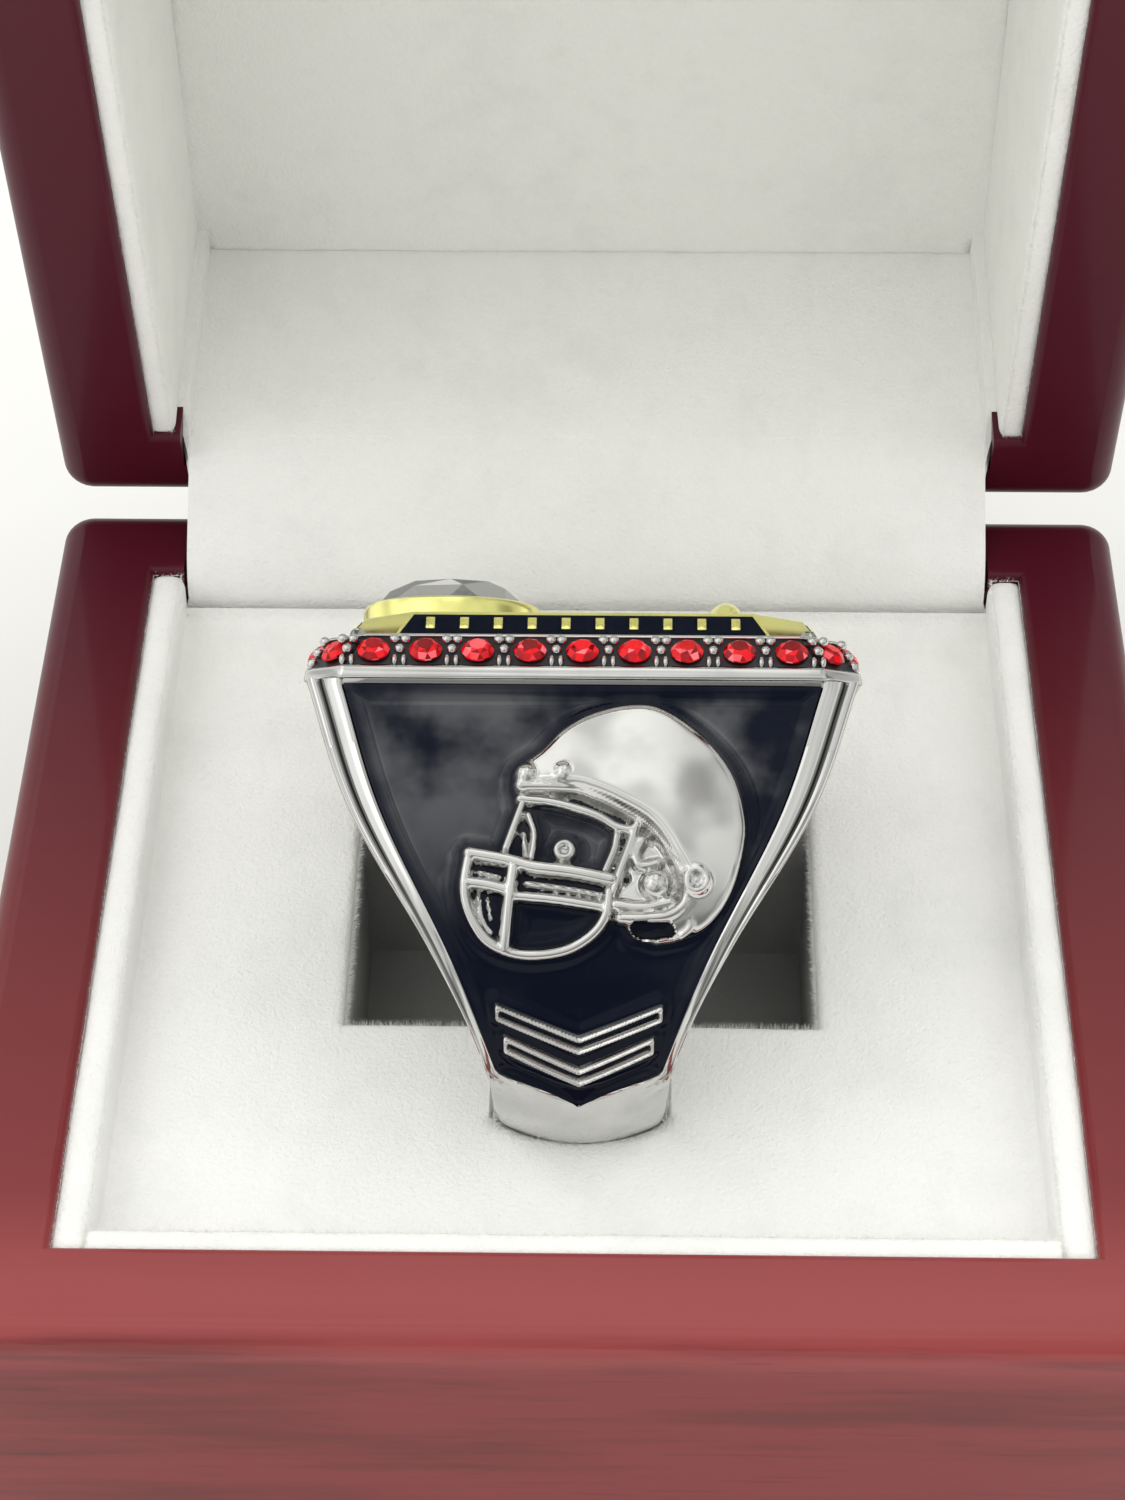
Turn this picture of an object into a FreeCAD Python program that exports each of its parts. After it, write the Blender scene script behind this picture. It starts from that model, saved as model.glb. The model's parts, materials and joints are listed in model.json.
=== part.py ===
import FreeCAD, Part
import math
import os

import Sketcher

# Hinged wooden ring display case with a velvet lining, and the football ring that stands in it.
# Millimetres. Origin at the middle of the underside, +Z up, the front of the case towards -Y.
# Lid pieces are drawn shut and turned open by their Placement.
# Ring pieces are drawn about the finger hole (X along the finger, Z to the head) and leaned back.

V = FreeCAD.Vector
X_AXIS = V(1, 0, 0)

# Longer than any piece, and the margins of the tests on edges and volumes
LONG = 60.0
EDGE_MARGIN = 0.1
NO_LENGTH = 1e-6
NO_VOLUME = 1e-6

os.makedirs("parts", exist_ok=True)
doc = FreeCAD.newDocument("ring_display_case")

# Driving dimensions
DIMENSIONS = {
    "case_width": 70.0,
    "case_depth": 66.0,
    "base_height": 30.0,
    "lid_height": 28.5,
    "side_wall": 6.5,
    "end_wall": 6.0,
    "corner_round": 2.0,
    "rim_round": 1.6,
    "inner_round": 0.5,
    "foot_round": 0.8,
    "lid_top_round": 2.5,
    "rim_gap": 0.4,
    "felt_thick": 1.0,
    "felt_inset": 2.0,
    "floor_thick": 4.0,
    "liner_thick": 1.8,
    "liner_drop": 0.4,
    "front_liner_thick": 1.3,
    "lid_liner_thick": 1.2,
    "lid_liner_drop": 0.5,
    "velvet_round": 0.5,
    "fit_gap": 0.1,
    "pad_drop": 3.5,
    "pad_skin": 0.8,
    "pad_round": 0.7,
    "pad_rear_gap": 1.0,
    "slot_width": 28.0,
    "slot_depth": 18.0,
    "slot_shift_x": 0.2,
    "slot_shift_y": -0.3,
    "slot_floor_drop": 17.0,
    "slot_wall": 0.6,
    "lid_top_thick": 4.5,
    "lid_pad_thick": 2.4,
    "lid_pad_rear_thick": 5.7,
    "lid_pad_swell_y": 3.0,
    "lid_pad_round": 1.1,
    "rebate_width": 53.4,
    "rebate_deep": 2.8,
    "rear_liner_thick": 0.8,
    "rear_liner_drop": 1.6,
    "notch_width": 53.0,
    "notch_deep": 1.5,
    "notch_over": 2.0,
    "hinge_length": 50.0,
    "hinge_back": 0.4,
    "hinge_up": 0.2,
    "knuckle_radius": 1.2,
    "knuckle_gap": 0.3,
    "pin_radius": 0.6,
    "pin_clear": 0.05,
    "leaf_thick": 0.7,
    "base_leaf_reach": 3.9,
    "lid_leaf_reach": 2.4,
    "leaf_setback": 0.7,
    "screw_radius": 0.7,
    "screw_head_radius": 1.05,
    "screw_length": 5.0,
    "flap_width": 52.6,
    "flap_thick": 0.7,
    "flap_hang": 4.6,
    "lid_open_angle": 81.3,
    "ring_x": 0.25,
    "ring_y": -6.84,
    "ring_up": 3.5,
    "ring_lean": 52.0,
    "bore_radius": 10.5,
    "band_radius": 12.5,
    "head_top": 13.1,
    "head_half_depth": 9.8,
    "head_half_width": 15.3,
    "band_half_width": 4.8,
    "saddle_clear": 0.25,
    "saddle_half_width": 5.6,
    "recess_deep": 1.0,
    "enamel_sunk": 0.35,
    "relief_proud": 0.25,
    "helmet_proud": 1.5,
    "helmet_dome": 16.0,
    "helmet_x": 2.6,
    "helmet_up": 5.2,
    "mask_proud": 0.75,
    "chevron_bar": 0.75,
    "chevron_drop": 1.7,
    "chevron_upper_half": 4.55,
    "chevron_upper_top": -4.95,
    "chevron_lower_half": 4.1,
    "chevron_lower_top": -6.65,
    "ledge_thick": 0.6,
    "ledge_overhang": 0.35,
    "ledge_draw": 0.15,
    "channel_height": 2.3,
    "channel_slope": 1.0,
    "corner_cut": 2.2,
    "lip_thick": 0.3,
    "lip_overhang": 0.1,
    "stone_pitch": 2.9,
    "stone_radius": 0.95,
    "stone_table": 0.55,
    "stone_height": 0.45,
    "bead_radius": 0.3,
    "bead_height": 0.3,
    "deck_inset": 0.8,
    "deck_height": 1.2,
    "deck_slope": 1.8,
    "deck_corner_cut": 3.0,
    "strip_margin": 0.25,
    "strip_thick": 0.12,
    "bar_width": 0.8,
    "bar_pitch": 1.9,
    "cup_x": -7.7,
    "cup_radius": 4.4,
    "cup_height": 1.9,
    "cup_wall": 0.7,
    "gem_top": 2.9,
    "gem_table": 2.6,
    "boss_x": 8.2,
    "boss_half_length": 3.8,
    "boss_radius": 1.2,
    "clear_stone_radius": 0.45,
    "clear_stone_height": 0.4,
}

dims = doc.addObject("Spreadsheet::Sheet", "dims")
for row, (alias, value) in enumerate(DIMENSIONS.items(), start=1):
    dims.set(f"A{row}", alias)
    dims.set(f"B{row}", str(value))
    dims.setAlias(f"B{row}", alias)
doc.recompute()

pieces = []


def size(alias):
    return float(dims.get(alias))


def cells(words):
    """Turns bare cell names in an expression into references to the sheet."""
    out = []
    for word in words.replace("(", " ( ").replace(")", " ) ").split():
        out.append("dims." + word if word in DIMENSIONS else word)
    return " ".join(out)


def new_body(name):
    body = doc.addObject("PartDesign::Body", name)
    body.Label = name
    pieces.append(body)
    return body


def attach(body, sketch, role, x, y, z):
    plane = next(item for item in body.Origin.OriginFeatures if item.Role == role)
    sketch.AttachmentSupport = [(plane, "")]
    sketch.MapMode = "FlatFace"
    for axis, words in zip("xyz", (x, y, z)):
        sketch.setExpression(f".AttachmentOffset.Base.{axis}", cells(words))


def rectangle(body, width, depth, x="0", y="0", z="0", role="XY_Plane"):
    """A rectangle centred on the given place of an origin plane."""
    sketch = body.newObject("Sketcher::SketchObject", body.Label + "_outline")
    attach(body, sketch, role, x, y, z)
    corners = [V(-5, -5, 0), V(5, -5, 0), V(5, 5, 0), V(-5, 5, 0)]
    for start, end in zip(corners, corners[1:] + corners[:1]):
        sketch.addGeometry(Part.LineSegment(start, end), False)
    for side in range(4):
        sketch.addConstraint(Sketcher.Constraint("Coincident", side, 2, (side + 1) % 4, 1))
        sketch.addConstraint(Sketcher.Constraint("Vertical" if side % 2 else "Horizontal", side))
    sketch.addConstraint(Sketcher.Constraint("Symmetric", 0, 1, 1, 2, -1, 1))
    across = sketch.addConstraint(Sketcher.Constraint("DistanceX", 0, 1, 0, 2, 10.0))
    along = sketch.addConstraint(Sketcher.Constraint("DistanceY", 1, 1, 1, 2, 10.0))
    sketch.setExpression(f"Constraints[{across}]", cells(width))
    sketch.setExpression(f"Constraints[{along}]", cells(depth))
    return sketch


def circle(body, radius, x="0", y="0", z="0", role="YZ_Plane"):
    sketch = body.newObject("Sketcher::SketchObject", body.Label + "_circle")
    attach(body, sketch, role, x, y, z)
    sketch.addGeometry(Part.Circle(V(0, 0, 0), V(0, 0, 1), 1.0), False)
    sketch.addConstraint(Sketcher.Constraint("Coincident", 0, 3, -1, 1))
    rim = sketch.addConstraint(Sketcher.Constraint("Radius", 0, 1.0))
    sketch.setExpression(f"Constraints[{rim}]", cells(radius))
    return sketch


def pad(body, sketch, length):
    feature = body.newObject("PartDesign::Pad", body.Label + "_pad")
    feature.Profile = sketch
    feature.setExpression("Length", cells(length))
    sketch.Visibility = False
    doc.recompute()
    return feature


def pocket(body, sketch, length, upward=False, both_ways=False):
    before = body.Shape.Volume
    feature = body.newObject("PartDesign::Pocket", body.Label + "_pocket")
    feature.Profile = sketch
    feature.setExpression("Length", cells(length))
    feature.Reversed = upward
    feature.Midplane = both_ways
    doc.recompute()
    if body.Shape.Volume > before - NO_VOLUME:
        raise RuntimeError(f"{body.Label}: the pocket cuts nothing")
    return feature


def round_edges(body, radius, wanted):
    base = body.Tip
    names = [f"Edge{n}" for n, edge in enumerate(base.Shape.Edges, start=1) if wanted(edge)]
    feature = body.newObject("PartDesign::Fillet", body.Label + "_round")
    feature.Base = (base, names)
    feature.setExpression("Radius", cells(radius))
    doc.recompute()
    return feature


def upright(edge):
    box = edge.BoundBox
    return box.ZLength > EDGE_MARGIN and box.XLength < NO_LENGTH and box.YLength < NO_LENGTH


def level_at(height):
    def test(edge):
        box = edge.BoundBox
        return box.ZLength < NO_LENGTH and abs(box.ZMin - height) < NO_LENGTH
    return test


def inside(test, half_x, half_y):
    def both(edge):
        box = edge.BoundBox
        reach_x = max(abs(box.XMin), abs(box.XMax))
        reach_y = max(abs(box.YMin), abs(box.YMax))
        return test(edge) and reach_x < half_x + EDGE_MARGIN and reach_y < half_y + EDGE_MARGIN
    return both


def block(name, width, depth, height, x="0", y="0", z="0"):
    body = new_body(name)
    pad(body, rectangle(body, width, depth, x, y, z), height)
    return body


# Levels and places that follow from the driving dimensions
RIM = "base_height"
LID_RIM = "base_height + rim_gap"
INNER_WIDTH = "case_width - 2 * side_wall"
INNER_DEPTH = "case_depth - 2 * end_wall"
HINGE_Y = "case_depth / 2 + hinge_back"
HINGE_Z = "base_height + hinge_up"
NOTCH_Y = "case_depth / 2 - end_wall / 2"
FLOOR_TOP = "felt_thick + floor_thick"

rim = size("base_height")
lid_rim = rim + size("rim_gap")
inner_half_x = size("case_width") / 2 - size("side_wall")
inner_half_y = size("case_depth") / 2 - size("end_wall")
hinge_point = V(0, size("case_depth") / 2 + size("hinge_back"), rim + size("hinge_up"))
turn_open = FreeCAD.Rotation(X_AXIS, -size("lid_open_angle"))
lid_open = FreeCAD.Placement(V(0, 0, 0), turn_open, hinge_point)


# Case base

def base_shell():
    body = block("base_shell", "case_width", "case_depth", "base_height - felt_thick", z="felt_thick")
    round_edges(body, "corner_round", upright)
    round_edges(body, "rim_round", level_at(rim))
    round_edges(body, "foot_round", level_at(size("felt_thick")))
    pocket(body, rectangle(body, INNER_WIDTH, INNER_DEPTH, z=RIM), "base_height")
    round_edges(body, "inner_round", inside(level_at(rim), inner_half_x, inner_half_y))
    pocket(body, rectangle(body, "notch_width", "end_wall + notch_over", y=NOTCH_Y, z=RIM), "notch_deep")


def base_boards():
    block("base_floor", INNER_WIDTH, INNER_DEPTH, "floor_thick", z="felt_thick")
    felt = block("base_felt", "case_width - 2 * felt_inset", "case_depth - 2 * felt_inset", "felt_thick")
    round_edges(felt, "corner_round", upright)


def standing_liner(name, width, depth, x, y, bottom, top, soft_level, turned=None):
    body = block(name, width, depth, f"{top} - ( {bottom} )", x, y, bottom)
    round_edges(body, "velvet_round", level_at(soft_level))
    if turned:
        body.Placement = turned


def base_liners():
    soft_top = rim - size("liner_drop")
    for name, sign in (("base_liner_left", "-1"), ("base_liner_right", "1")):
        place = f"{sign} * ( case_width / 2 - side_wall - liner_thick / 2 )"
        standing_liner(name, "liner_thick", INNER_DEPTH, place, "0", FLOOR_TOP,
                       "base_height - liner_drop", soft_top)
    standing_liner("base_liner_front", INNER_WIDTH + " - 2 * liner_thick", "front_liner_thick", "0",
                   "end_wall + front_liner_thick / 2 - case_depth / 2", FLOOR_TOP,
                   "base_height - liner_drop", soft_top)


PAD_WIDTH = INNER_WIDTH + " - 2 * liner_thick - 2 * fit_gap"
PAD_DEPTH = INNER_DEPTH + " - front_liner_thick - fit_gap - pad_rear_gap"
PAD_Y = "( front_liner_thick + fit_gap - pad_rear_gap ) / 2"
PAD_TOP = "base_height - pad_drop"
SLOT_FLOOR = "base_height - slot_floor_drop"


def cut_slot(body, widen, top, length):
    outline = rectangle(body, f"slot_width + {widen}", f"slot_depth + {widen}",
                        "slot_shift_x", "slot_shift_y", top)
    pocket(body, outline, length)


def cut_ring_saddle(body):
    saddle = circle(body, "band_radius + saddle_clear", "ring_y", "base_height + ring_up", "ring_x")
    pocket(body, saddle, "2 * saddle_half_width", both_ways=True)


def ring_pad():
    core_height = f"{PAD_TOP} - pad_skin - ( {FLOOR_TOP} )"
    core = block("pad_core", PAD_WIDTH, PAD_DEPTH, core_height, y=PAD_Y, z=FLOOR_TOP)
    cut_slot(core, "2 * slot_wall", PAD_TOP, "slot_floor_drop - pad_drop + slot_wall")
    cut_ring_saddle(core)
    cover = block("pad_cover", PAD_WIDTH, PAD_DEPTH, "pad_skin", y=PAD_Y, z=f"{PAD_TOP} - pad_skin")
    round_edges(cover, "pad_round", level_at(rim - size("pad_drop")))
    cut_slot(cover, "0", PAD_TOP, "2 * pad_skin")
    cut_ring_saddle(cover)
    tray = block("slot_lining", "slot_width + 2 * slot_wall", "slot_depth + 2 * slot_wall",
                 f"{PAD_TOP} - pad_skin - ( {SLOT_FLOOR} - slot_wall )", "slot_shift_x", "slot_shift_y",
                 f"{SLOT_FLOOR} - slot_wall")
    cut_slot(tray, "0", PAD_TOP, "slot_floor_drop - pad_drop")
    cut_ring_saddle(tray)


# Hinge: five knuckles on one pin, three on the base leaf and two on the lid leaf

KNUCKLES = 5
SCREWS = 4
KNUCKLE = f"hinge_length / {KNUCKLES}"


def hinge_leaf(name, own, plate_z, reach, bore, turned=None):
    body = new_body(name)
    edge = f"{HINGE_Y} - knuckle_radius + leaf_thick / 2 - leaf_setback"
    pad(body, rectangle(body, "hinge_length", reach, "0", f"{edge} - {reach} / 2", plate_z), "leaf_thick")
    for index in own:
        middle = f"( {index} + 0.5 ) * {KNUCKLE} - hinge_length / 2"
        start = f"{middle} - {KNUCKLE} / 2 + knuckle_gap / 2"
        tab_depth = f"{HINGE_Y} - ( {edge} )"
        tab_y = f"{edge} + ( {tab_depth} ) / 2"
        tab = rectangle(body, f"{KNUCKLE} - knuckle_gap", tab_depth, middle, tab_y, plate_z)
        pad(body, tab, "leaf_thick")
        pad(body, circle(body, "knuckle_radius", HINGE_Y, HINGE_Z, start), f"{KNUCKLE} - knuckle_gap")
    pocket(body, circle(body, bore, HINGE_Y, HINGE_Z), "2 * hinge_length", both_ways=True)
    if turned:
        body.Placement = turned


def hinge_pin():
    body = new_body("hinge_pin")
    pad(body, circle(body, "pin_radius", HINGE_Y, HINGE_Z, "-1 * hinge_length / 2"), "hinge_length")


def hinge_screws(name, y, head_z, point, turned=None):
    """A row of countersunk screws, heads level with the leaf."""
    screws = []
    for step in range(SCREWS):
        along = (step - (SCREWS - 1) / 2) * size("hinge_length") / KNUCKLES
        place = V(along, y, head_z)
        head = Part.makeCone(size("screw_head_radius"), size("screw_radius"), size("leaf_thick"),
                             place, point)
        shank = Part.makeCylinder(size("screw_radius"), size("screw_length"), place, point)
        screws.append(head.fuse(shank).removeSplitter())
    add_shape(name, Part.makeCompound(screws), turned)


def add_shape(name, shape, placement=None):
    feature = doc.addObject("Part::Feature", name)
    feature.Label = name
    feature.Shape = shape
    if placement:
        feature.Placement = placement
    pieces.append(feature)


def bar_along_x(outline, width):
    """A closed outline in Y and Z, carried along X to the given width about the middle."""
    face = Part.Face(Part.makePolygon(outline + outline[:1]))
    face.translate(V(-width / 2, 0, 0))
    return face.extrude(V(width, 0, 0))


def hinge_flap():
    """The velvet strip from behind the pad over the rear rim to the lid, as it lies with the lid open."""
    half = size("flap_thick") / 2
    wall = size("case_depth") / 2 - size("end_wall")
    low = V(0, wall - size("fit_gap") - half, rim - size("flap_hang"))
    bend = V(0, low.y, rim - size("liner_drop"))
    shut_end_y = wall + size("rebate_deep") - size("rear_liner_thick") / 2 - half
    end = lid_open.multVec(V(0, shut_end_y, lid_rim + size("liner_drop")))
    across = (end - bend).normalize()
    side = V(0, -across.z, across.y) * half
    mitre = V(0, -half, half * (1 - across.y) / across.z)
    front = [low + V(0, -half, 0), bend + mitre, end + side]
    back = [end - side, bend - mitre, low + V(0, half, 0)]
    add_shape("hinge_flap", bar_along_x(front + back, size("flap_width")))


# Lid, drawn shut

LID_INSIDE_TOP = "base_height + rim_gap + lid_height - lid_top_thick"
REBATE_Y = "case_depth / 2 - end_wall"


def lid_shell():
    body = block("lid_shell", "case_width", "case_depth", "lid_height", z=LID_RIM)
    round_edges(body, "corner_round", upright)
    round_edges(body, "rim_round", level_at(lid_rim))
    round_edges(body, "lid_top_round", level_at(lid_rim + size("lid_height")))
    hollow = "lid_height - lid_top_thick"
    pocket(body, rectangle(body, INNER_WIDTH, INNER_DEPTH, z=LID_RIM), hollow, upward=True)
    round_edges(body, "inner_round", inside(level_at(lid_rim), inner_half_x, inner_half_y))
    rebate = rectangle(body, "rebate_width", "2 * rebate_deep", y=REBATE_Y, z=LID_RIM)
    pocket(body, rebate, hollow, upward=True)
    notch = rectangle(body, "notch_width", "end_wall + notch_over", y=NOTCH_Y, z=LID_RIM)
    pocket(body, notch, "notch_deep", upward=True)
    body.Placement = lid_open


def lid_liners():
    soft = lid_rim + size("lid_liner_drop")
    bottom = f"{LID_RIM} + lid_liner_drop"
    for name, sign in (("lid_liner_left", "-1"), ("lid_liner_right", "1")):
        place = f"{sign} * ( case_width / 2 - side_wall - lid_liner_thick / 2 )"
        standing_liner(name, "lid_liner_thick", INNER_DEPTH, place, "0", bottom,
                       LID_INSIDE_TOP, soft, lid_open)
    standing_liner("lid_liner_front", INNER_WIDTH + " - 2 * lid_liner_thick", "lid_liner_thick", "0",
                   "end_wall + lid_liner_thick / 2 - case_depth / 2", bottom,
                   LID_INSIDE_TOP, soft, lid_open)
    rear = block("lid_liner_rear", "flap_width", "rear_liner_thick",
                 f"{LID_INSIDE_TOP} - ( {LID_RIM} + rear_liner_drop )", "0",
                 f"{REBATE_Y} + rebate_deep - rear_liner_thick / 2", f"{LID_RIM} + rear_liner_drop")
    rear.Placement = lid_open


def lid_pad():
    """The padded panel under the lid's top: it swells towards the hinge and reaches into the rebate."""
    gap = size("fit_gap")
    top = lid_rim + size("lid_height") - size("lid_top_thick")
    face = top - size("lid_pad_thick")
    rear_face = top - size("lid_pad_rear_thick")
    front = gap + size("lid_liner_thick") - inner_half_y
    back = inner_half_y - gap
    rear = back + size("rebate_deep") - size("rear_liner_thick")
    side_view = [V(0, front, face), V(0, size("lid_pad_swell_y"), face), V(0, rear, rear_face),
                 V(0, rear, top), V(0, front, top)]
    width = 2 * (inner_half_x - size("lid_liner_thick") - gap)
    panel = Part.makeBox(width, back - front, LONG, V(-width / 2, front, rear_face))
    tongue_width = size("flap_width")
    tongue = Part.makeBox(tongue_width, rear - front, LONG, V(-tongue_width / 2, front, rear_face))
    shape = bar_along_x(side_view, width).common(panel.fuse(tongue)).removeSplitter()
    soft_edges = [edge for edge in shape.Edges if edge.BoundBox.ZMax < face + EDGE_MARGIN
                  and edge.BoundBox.XLength < width - EDGE_MARGIN]
    add_shape("lid_pad", shape.makeFillet(size("lid_pad_round"), soft_edges), lid_open)


# Ring

ring_pose = FreeCAD.Placement(V(size("ring_x"), size("ring_y"), rim + size("ring_up")),
                              FreeCAD.Rotation(X_AXIS, -size("ring_lean")))
HALF_TURN = FreeCAD.Placement(V(0, 0, 0), FreeCAD.Rotation(V(0, 0, 1), 180))

# Slope of the shoulders: the straight side touches the band's circle and the edge of the head
shoulder_angle = (math.atan2(size("head_top"), size("head_half_depth"))
                  - math.acos(size("band_radius") / math.hypot(size("head_top"), size("head_half_depth"))))


def side_solid(inset):
    """The ring seen along the finger, sides drawn in by the inset, as a long bar along X."""
    radius = size("band_radius") - inset
    touch = V(0, radius * math.cos(shoulder_angle), radius * math.sin(shoulder_angle))
    top = size("head_top")
    edge = V(0, (radius - top * math.sin(shoulder_angle)) / math.cos(shoulder_angle), top)
    other_edge = V(0, -edge.y, edge.z)
    other_touch = V(0, -touch.y, touch.z)
    arc = Part.Arc(other_touch, V(0, 0, -radius), touch)
    corners = [touch, edge, other_edge, other_touch]
    sides = [Part.LineSegment(a, b).toShape() for a, b in zip(corners, corners[1:])]
    wire = Part.Wire([arc.toShape()] + sides)
    face = Part.Face(wire)
    face.translate(V(-LONG / 2, 0, 0))
    return face.extrude(V(LONG, 0, 0))


def front_prism(edges):
    """A closed outline in X and Z, carried through the front half of the ring along Y."""
    face = Part.Face(Part.Wire(Part.__sortEdges__(edges)))
    return face.extrude(V(0, -LONG / 2, 0))


def mirrored_outline(half_points, close_bottom):
    """A spline down each side, a straight line across the top, and the given points at the bottom."""
    right = Part.BSplineCurve()
    right.interpolate([V(x, 0, z) for x, z in half_points])
    left = Part.BSplineCurve()
    left.interpolate([V(-x, 0, z) for x, z in half_points])
    top = [V(x, 0, half_points[0][1]) for x in (half_points[0][0], -half_points[0][0])]
    low_x, low_z = half_points[-1]
    bottom = [V(low_x, 0, low_z)] + [V(x, 0, z) for x, z in close_bottom] + [V(-low_x, 0, low_z)]
    lines = [Part.LineSegment(*top)] + [Part.LineSegment(a, b) for a, b in zip(bottom, bottom[1:])]
    return [right.toShape(), left.toShape()] + [line.toShape() for line in lines]


def polygon_edges(points):
    corners = [V(x, 0, z) for x, z in points]
    return [Part.LineSegment(a, b).toShape() for a, b in zip(corners, corners[1:] + corners[:1])]


def band_outline():
    half = [(size("head_half_width"), size("head_top")), (12.8, 6.0), (8.25, -1.8), (5.3, -8.0),
            (size("band_half_width"), -size("band_radius") - 0.1)]
    return mirrored_outline(half, [])


def panel_prism():
    """The dark enamel panel of one shoulder: narrowing to a shallow V above the band."""
    half = [(13.2, size("head_top") - 0.3), (10.9, 5.75), (6.9, -2.45), (4.5, -8.5)]
    return front_prism(mirrored_outline(half, [(0.0, -10.3)]))


def helmet_prism():
    """The helmet's shell: crown, back, jaw flap and the edge of the face opening."""
    arcs = [((-3.55, 8.4), (0.6, 11.15), (3.5, 11.75)), ((3.5, 11.75), (8.2, 9.2), (9.1, 4.3)),
            ((9.1, 4.3), (8.1, 0.9), (5.9, -1.2)), ((5.9, -1.2), (4.0, -1.85), (2.0, -0.6)),
            ((2.0, -0.6), (1.55, 1.0), (2.0, 2.2))]
    edges = [Part.Arc(*[V(x, 0, z) for x, z in arc]).toShape() for arc in arcs]
    corners = [(2.0, 2.2), (2.95, 4.9), (-2.9, 6.3), (-3.75, 7.2), (-3.55, 8.4)]
    points = [V(x, 0, z) for x, z in corners]
    return front_prism(edges + [Part.LineSegment(a, b).toShape() for a, b in zip(points, points[1:])])


def mask_prism():
    """The face guard: a framed guard with its gaps left open."""
    outline = front_prism(polygon_edges([(-3.4, 6.3), (-2.7, 6.15), (-3.35, 3.65), (1.85, 2.5), (2.0, 1.6),
                                         (1.5, -0.4), (-0.3, -1.75), (-2.8, -2.35), (-4.9, -1.7),
                                         (-6.2, 0.4), (-6.35, 3.4), (-5.9, 3.95), (-4.05, 3.75)]))
    gaps = [[(-5.75, 3.2), (-4.2, 2.9), (-4.3, 2.3), (-5.75, 2.6)],
            [(-3.3, 2.75), (1.1, 1.75), (1.0, 1.2), (-3.3, 2.1)],
            [(-5.7, 1.9), (-4.3, 1.6), (-4.2, -1.4), (-4.8, -1.2), (-5.6, 0.3)],
            [(-3.5, 1.3), (0.9, 0.45), (0.6, -0.4), (-0.6, -1.25), (-3.4, -1.75)]]
    for gap in gaps:
        outline = outline.cut(front_prism(polygon_edges(gap)))
    return outline


def chevron_prism(half, top):
    bar = size("chevron_bar")
    tip = top - size("chevron_drop")
    points = [(-half, top), (0, tip), (half, top), (half, top - bar), (0, tip - bar), (-half, top - bar)]
    return front_prism(polygon_edges(points))


def ring_shoulders():
    """The cast band, its enamel panels and the reliefs, alike on the front and rear shoulders."""
    outline = Part.Face(Part.Wire(Part.__sortEdges__(band_outline())))
    outline.translate(V(0, LONG / 2, 0))
    body = side_solid(0).common(outline.extrude(V(0, -LONG, 0)))
    body = body.cut(Part.makeCylinder(size("bore_radius"), LONG, V(-LONG / 2, 0, 0), X_AXIS))
    floor = side_solid(size("recess_deep"))
    panel = panel_prism()
    recess = panel.common(side_solid(0)).cut(floor)
    enamel = panel.common(side_solid(size("enamel_sunk"))).cut(floor)

    helmet_up = size("helmet_up")
    shoulder_y = helmet_up * math.tan(shoulder_angle) - size("band_radius") / math.cos(shoulder_angle)
    shoulder_mid = V(size("helmet_x"), shoulder_y, helmet_up)
    outward = V(0, -math.cos(shoulder_angle), math.sin(shoulder_angle))
    dome_radius = size("helmet_dome")
    dome = Part.makeSphere(dome_radius, shoulder_mid + outward * (size("helmet_proud") - dome_radius))
    shell = helmet_prism().common(dome).cut(floor)
    mask = mask_prism().common(side_solid(-size("mask_proud"))).cut(floor).cut(helmet_prism())
    proud = side_solid(-size("relief_proud"))
    enamel = enamel.cut(helmet_prism()).cut(mask_prism())
    chevrons = []
    for which in ("upper", "lower"):
        bar = chevron_prism(size(f"chevron_{which}_half"), size(f"chevron_{which}_top"))
        chevrons.append(bar.common(proud).cut(floor).Solids[0])
        enamel = enamel.cut(bar)

    add_shape("ring_band", body.cut(recess).cut(recess.transformed(HALF_TURN.toMatrix())), ring_pose)
    reliefs = {"enamel": enamel, "helmet": shell, "face_guard": mask,
               "chevrons": Part.makeCompound(chevrons)}
    for name, shape in reliefs.items():
        solids = Part.makeCompound(shape.Solids)
        add_shape(name + "_front", solids, ring_pose)
        add_shape(name + "_rear", solids, ring_pose.multiply(HALF_TURN))


def eight_sided(half_x, half_y, cut, z):
    quarter = [(half_x, half_y - cut), (half_x - cut, half_y)]
    half = quarter + [(-x, y) for x, y in reversed(quarter)]
    corners = [V(x, y, z) for x, y in half + [(-x, -y) for x, y in half]]
    return Part.makePolygon(corners + corners[:1])


def tapered(half_x, half_y, cut, low, high, draw_in):
    """An eight-sided block whose sides lean in by the given amount."""
    ends = [eight_sided(half_x, half_y, cut, low), eight_sided(half_x - draw_in, half_y - draw_in, cut, high)]
    return Part.makeLoft(ends, True, True)


ledge_low = size("head_top")
channel_low = ledge_low + size("ledge_thick")
lip_low = channel_low + size("channel_height")
deck_low = lip_low + size("lip_thick")
deck_high = deck_low + size("deck_height")
head_x = size("head_half_width")
head_y = size("head_half_depth")

# Places up a sloping side, as shares of its height
STONE_SHARE = 0.5
BEAD_SHARES = (0.2, 0.5, 0.8)
STRIP_SHARES = (0.15, 0.85)
BAR_SHARES = (0.3, 0.7)


class Side:
    """One face of the head: its middle, the way along it and the way it faces."""

    def __init__(self, turn, reach, half_length):
        angle = math.radians(turn)
        self.out = V(math.cos(angle), math.sin(angle), 0)
        self.along = V(-self.out.y, self.out.x, 0)
        self.reach = reach
        self.half_length = half_length

    def point(self, low, draw_in, rise, share, shift):
        return self.out * (self.reach - draw_in * share) + self.along * shift + V(0, 0, low + rise * share)

    def facing(self, draw_in, rise):
        return (self.out * rise + V(0, 0, draw_in)).normalize()


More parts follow.
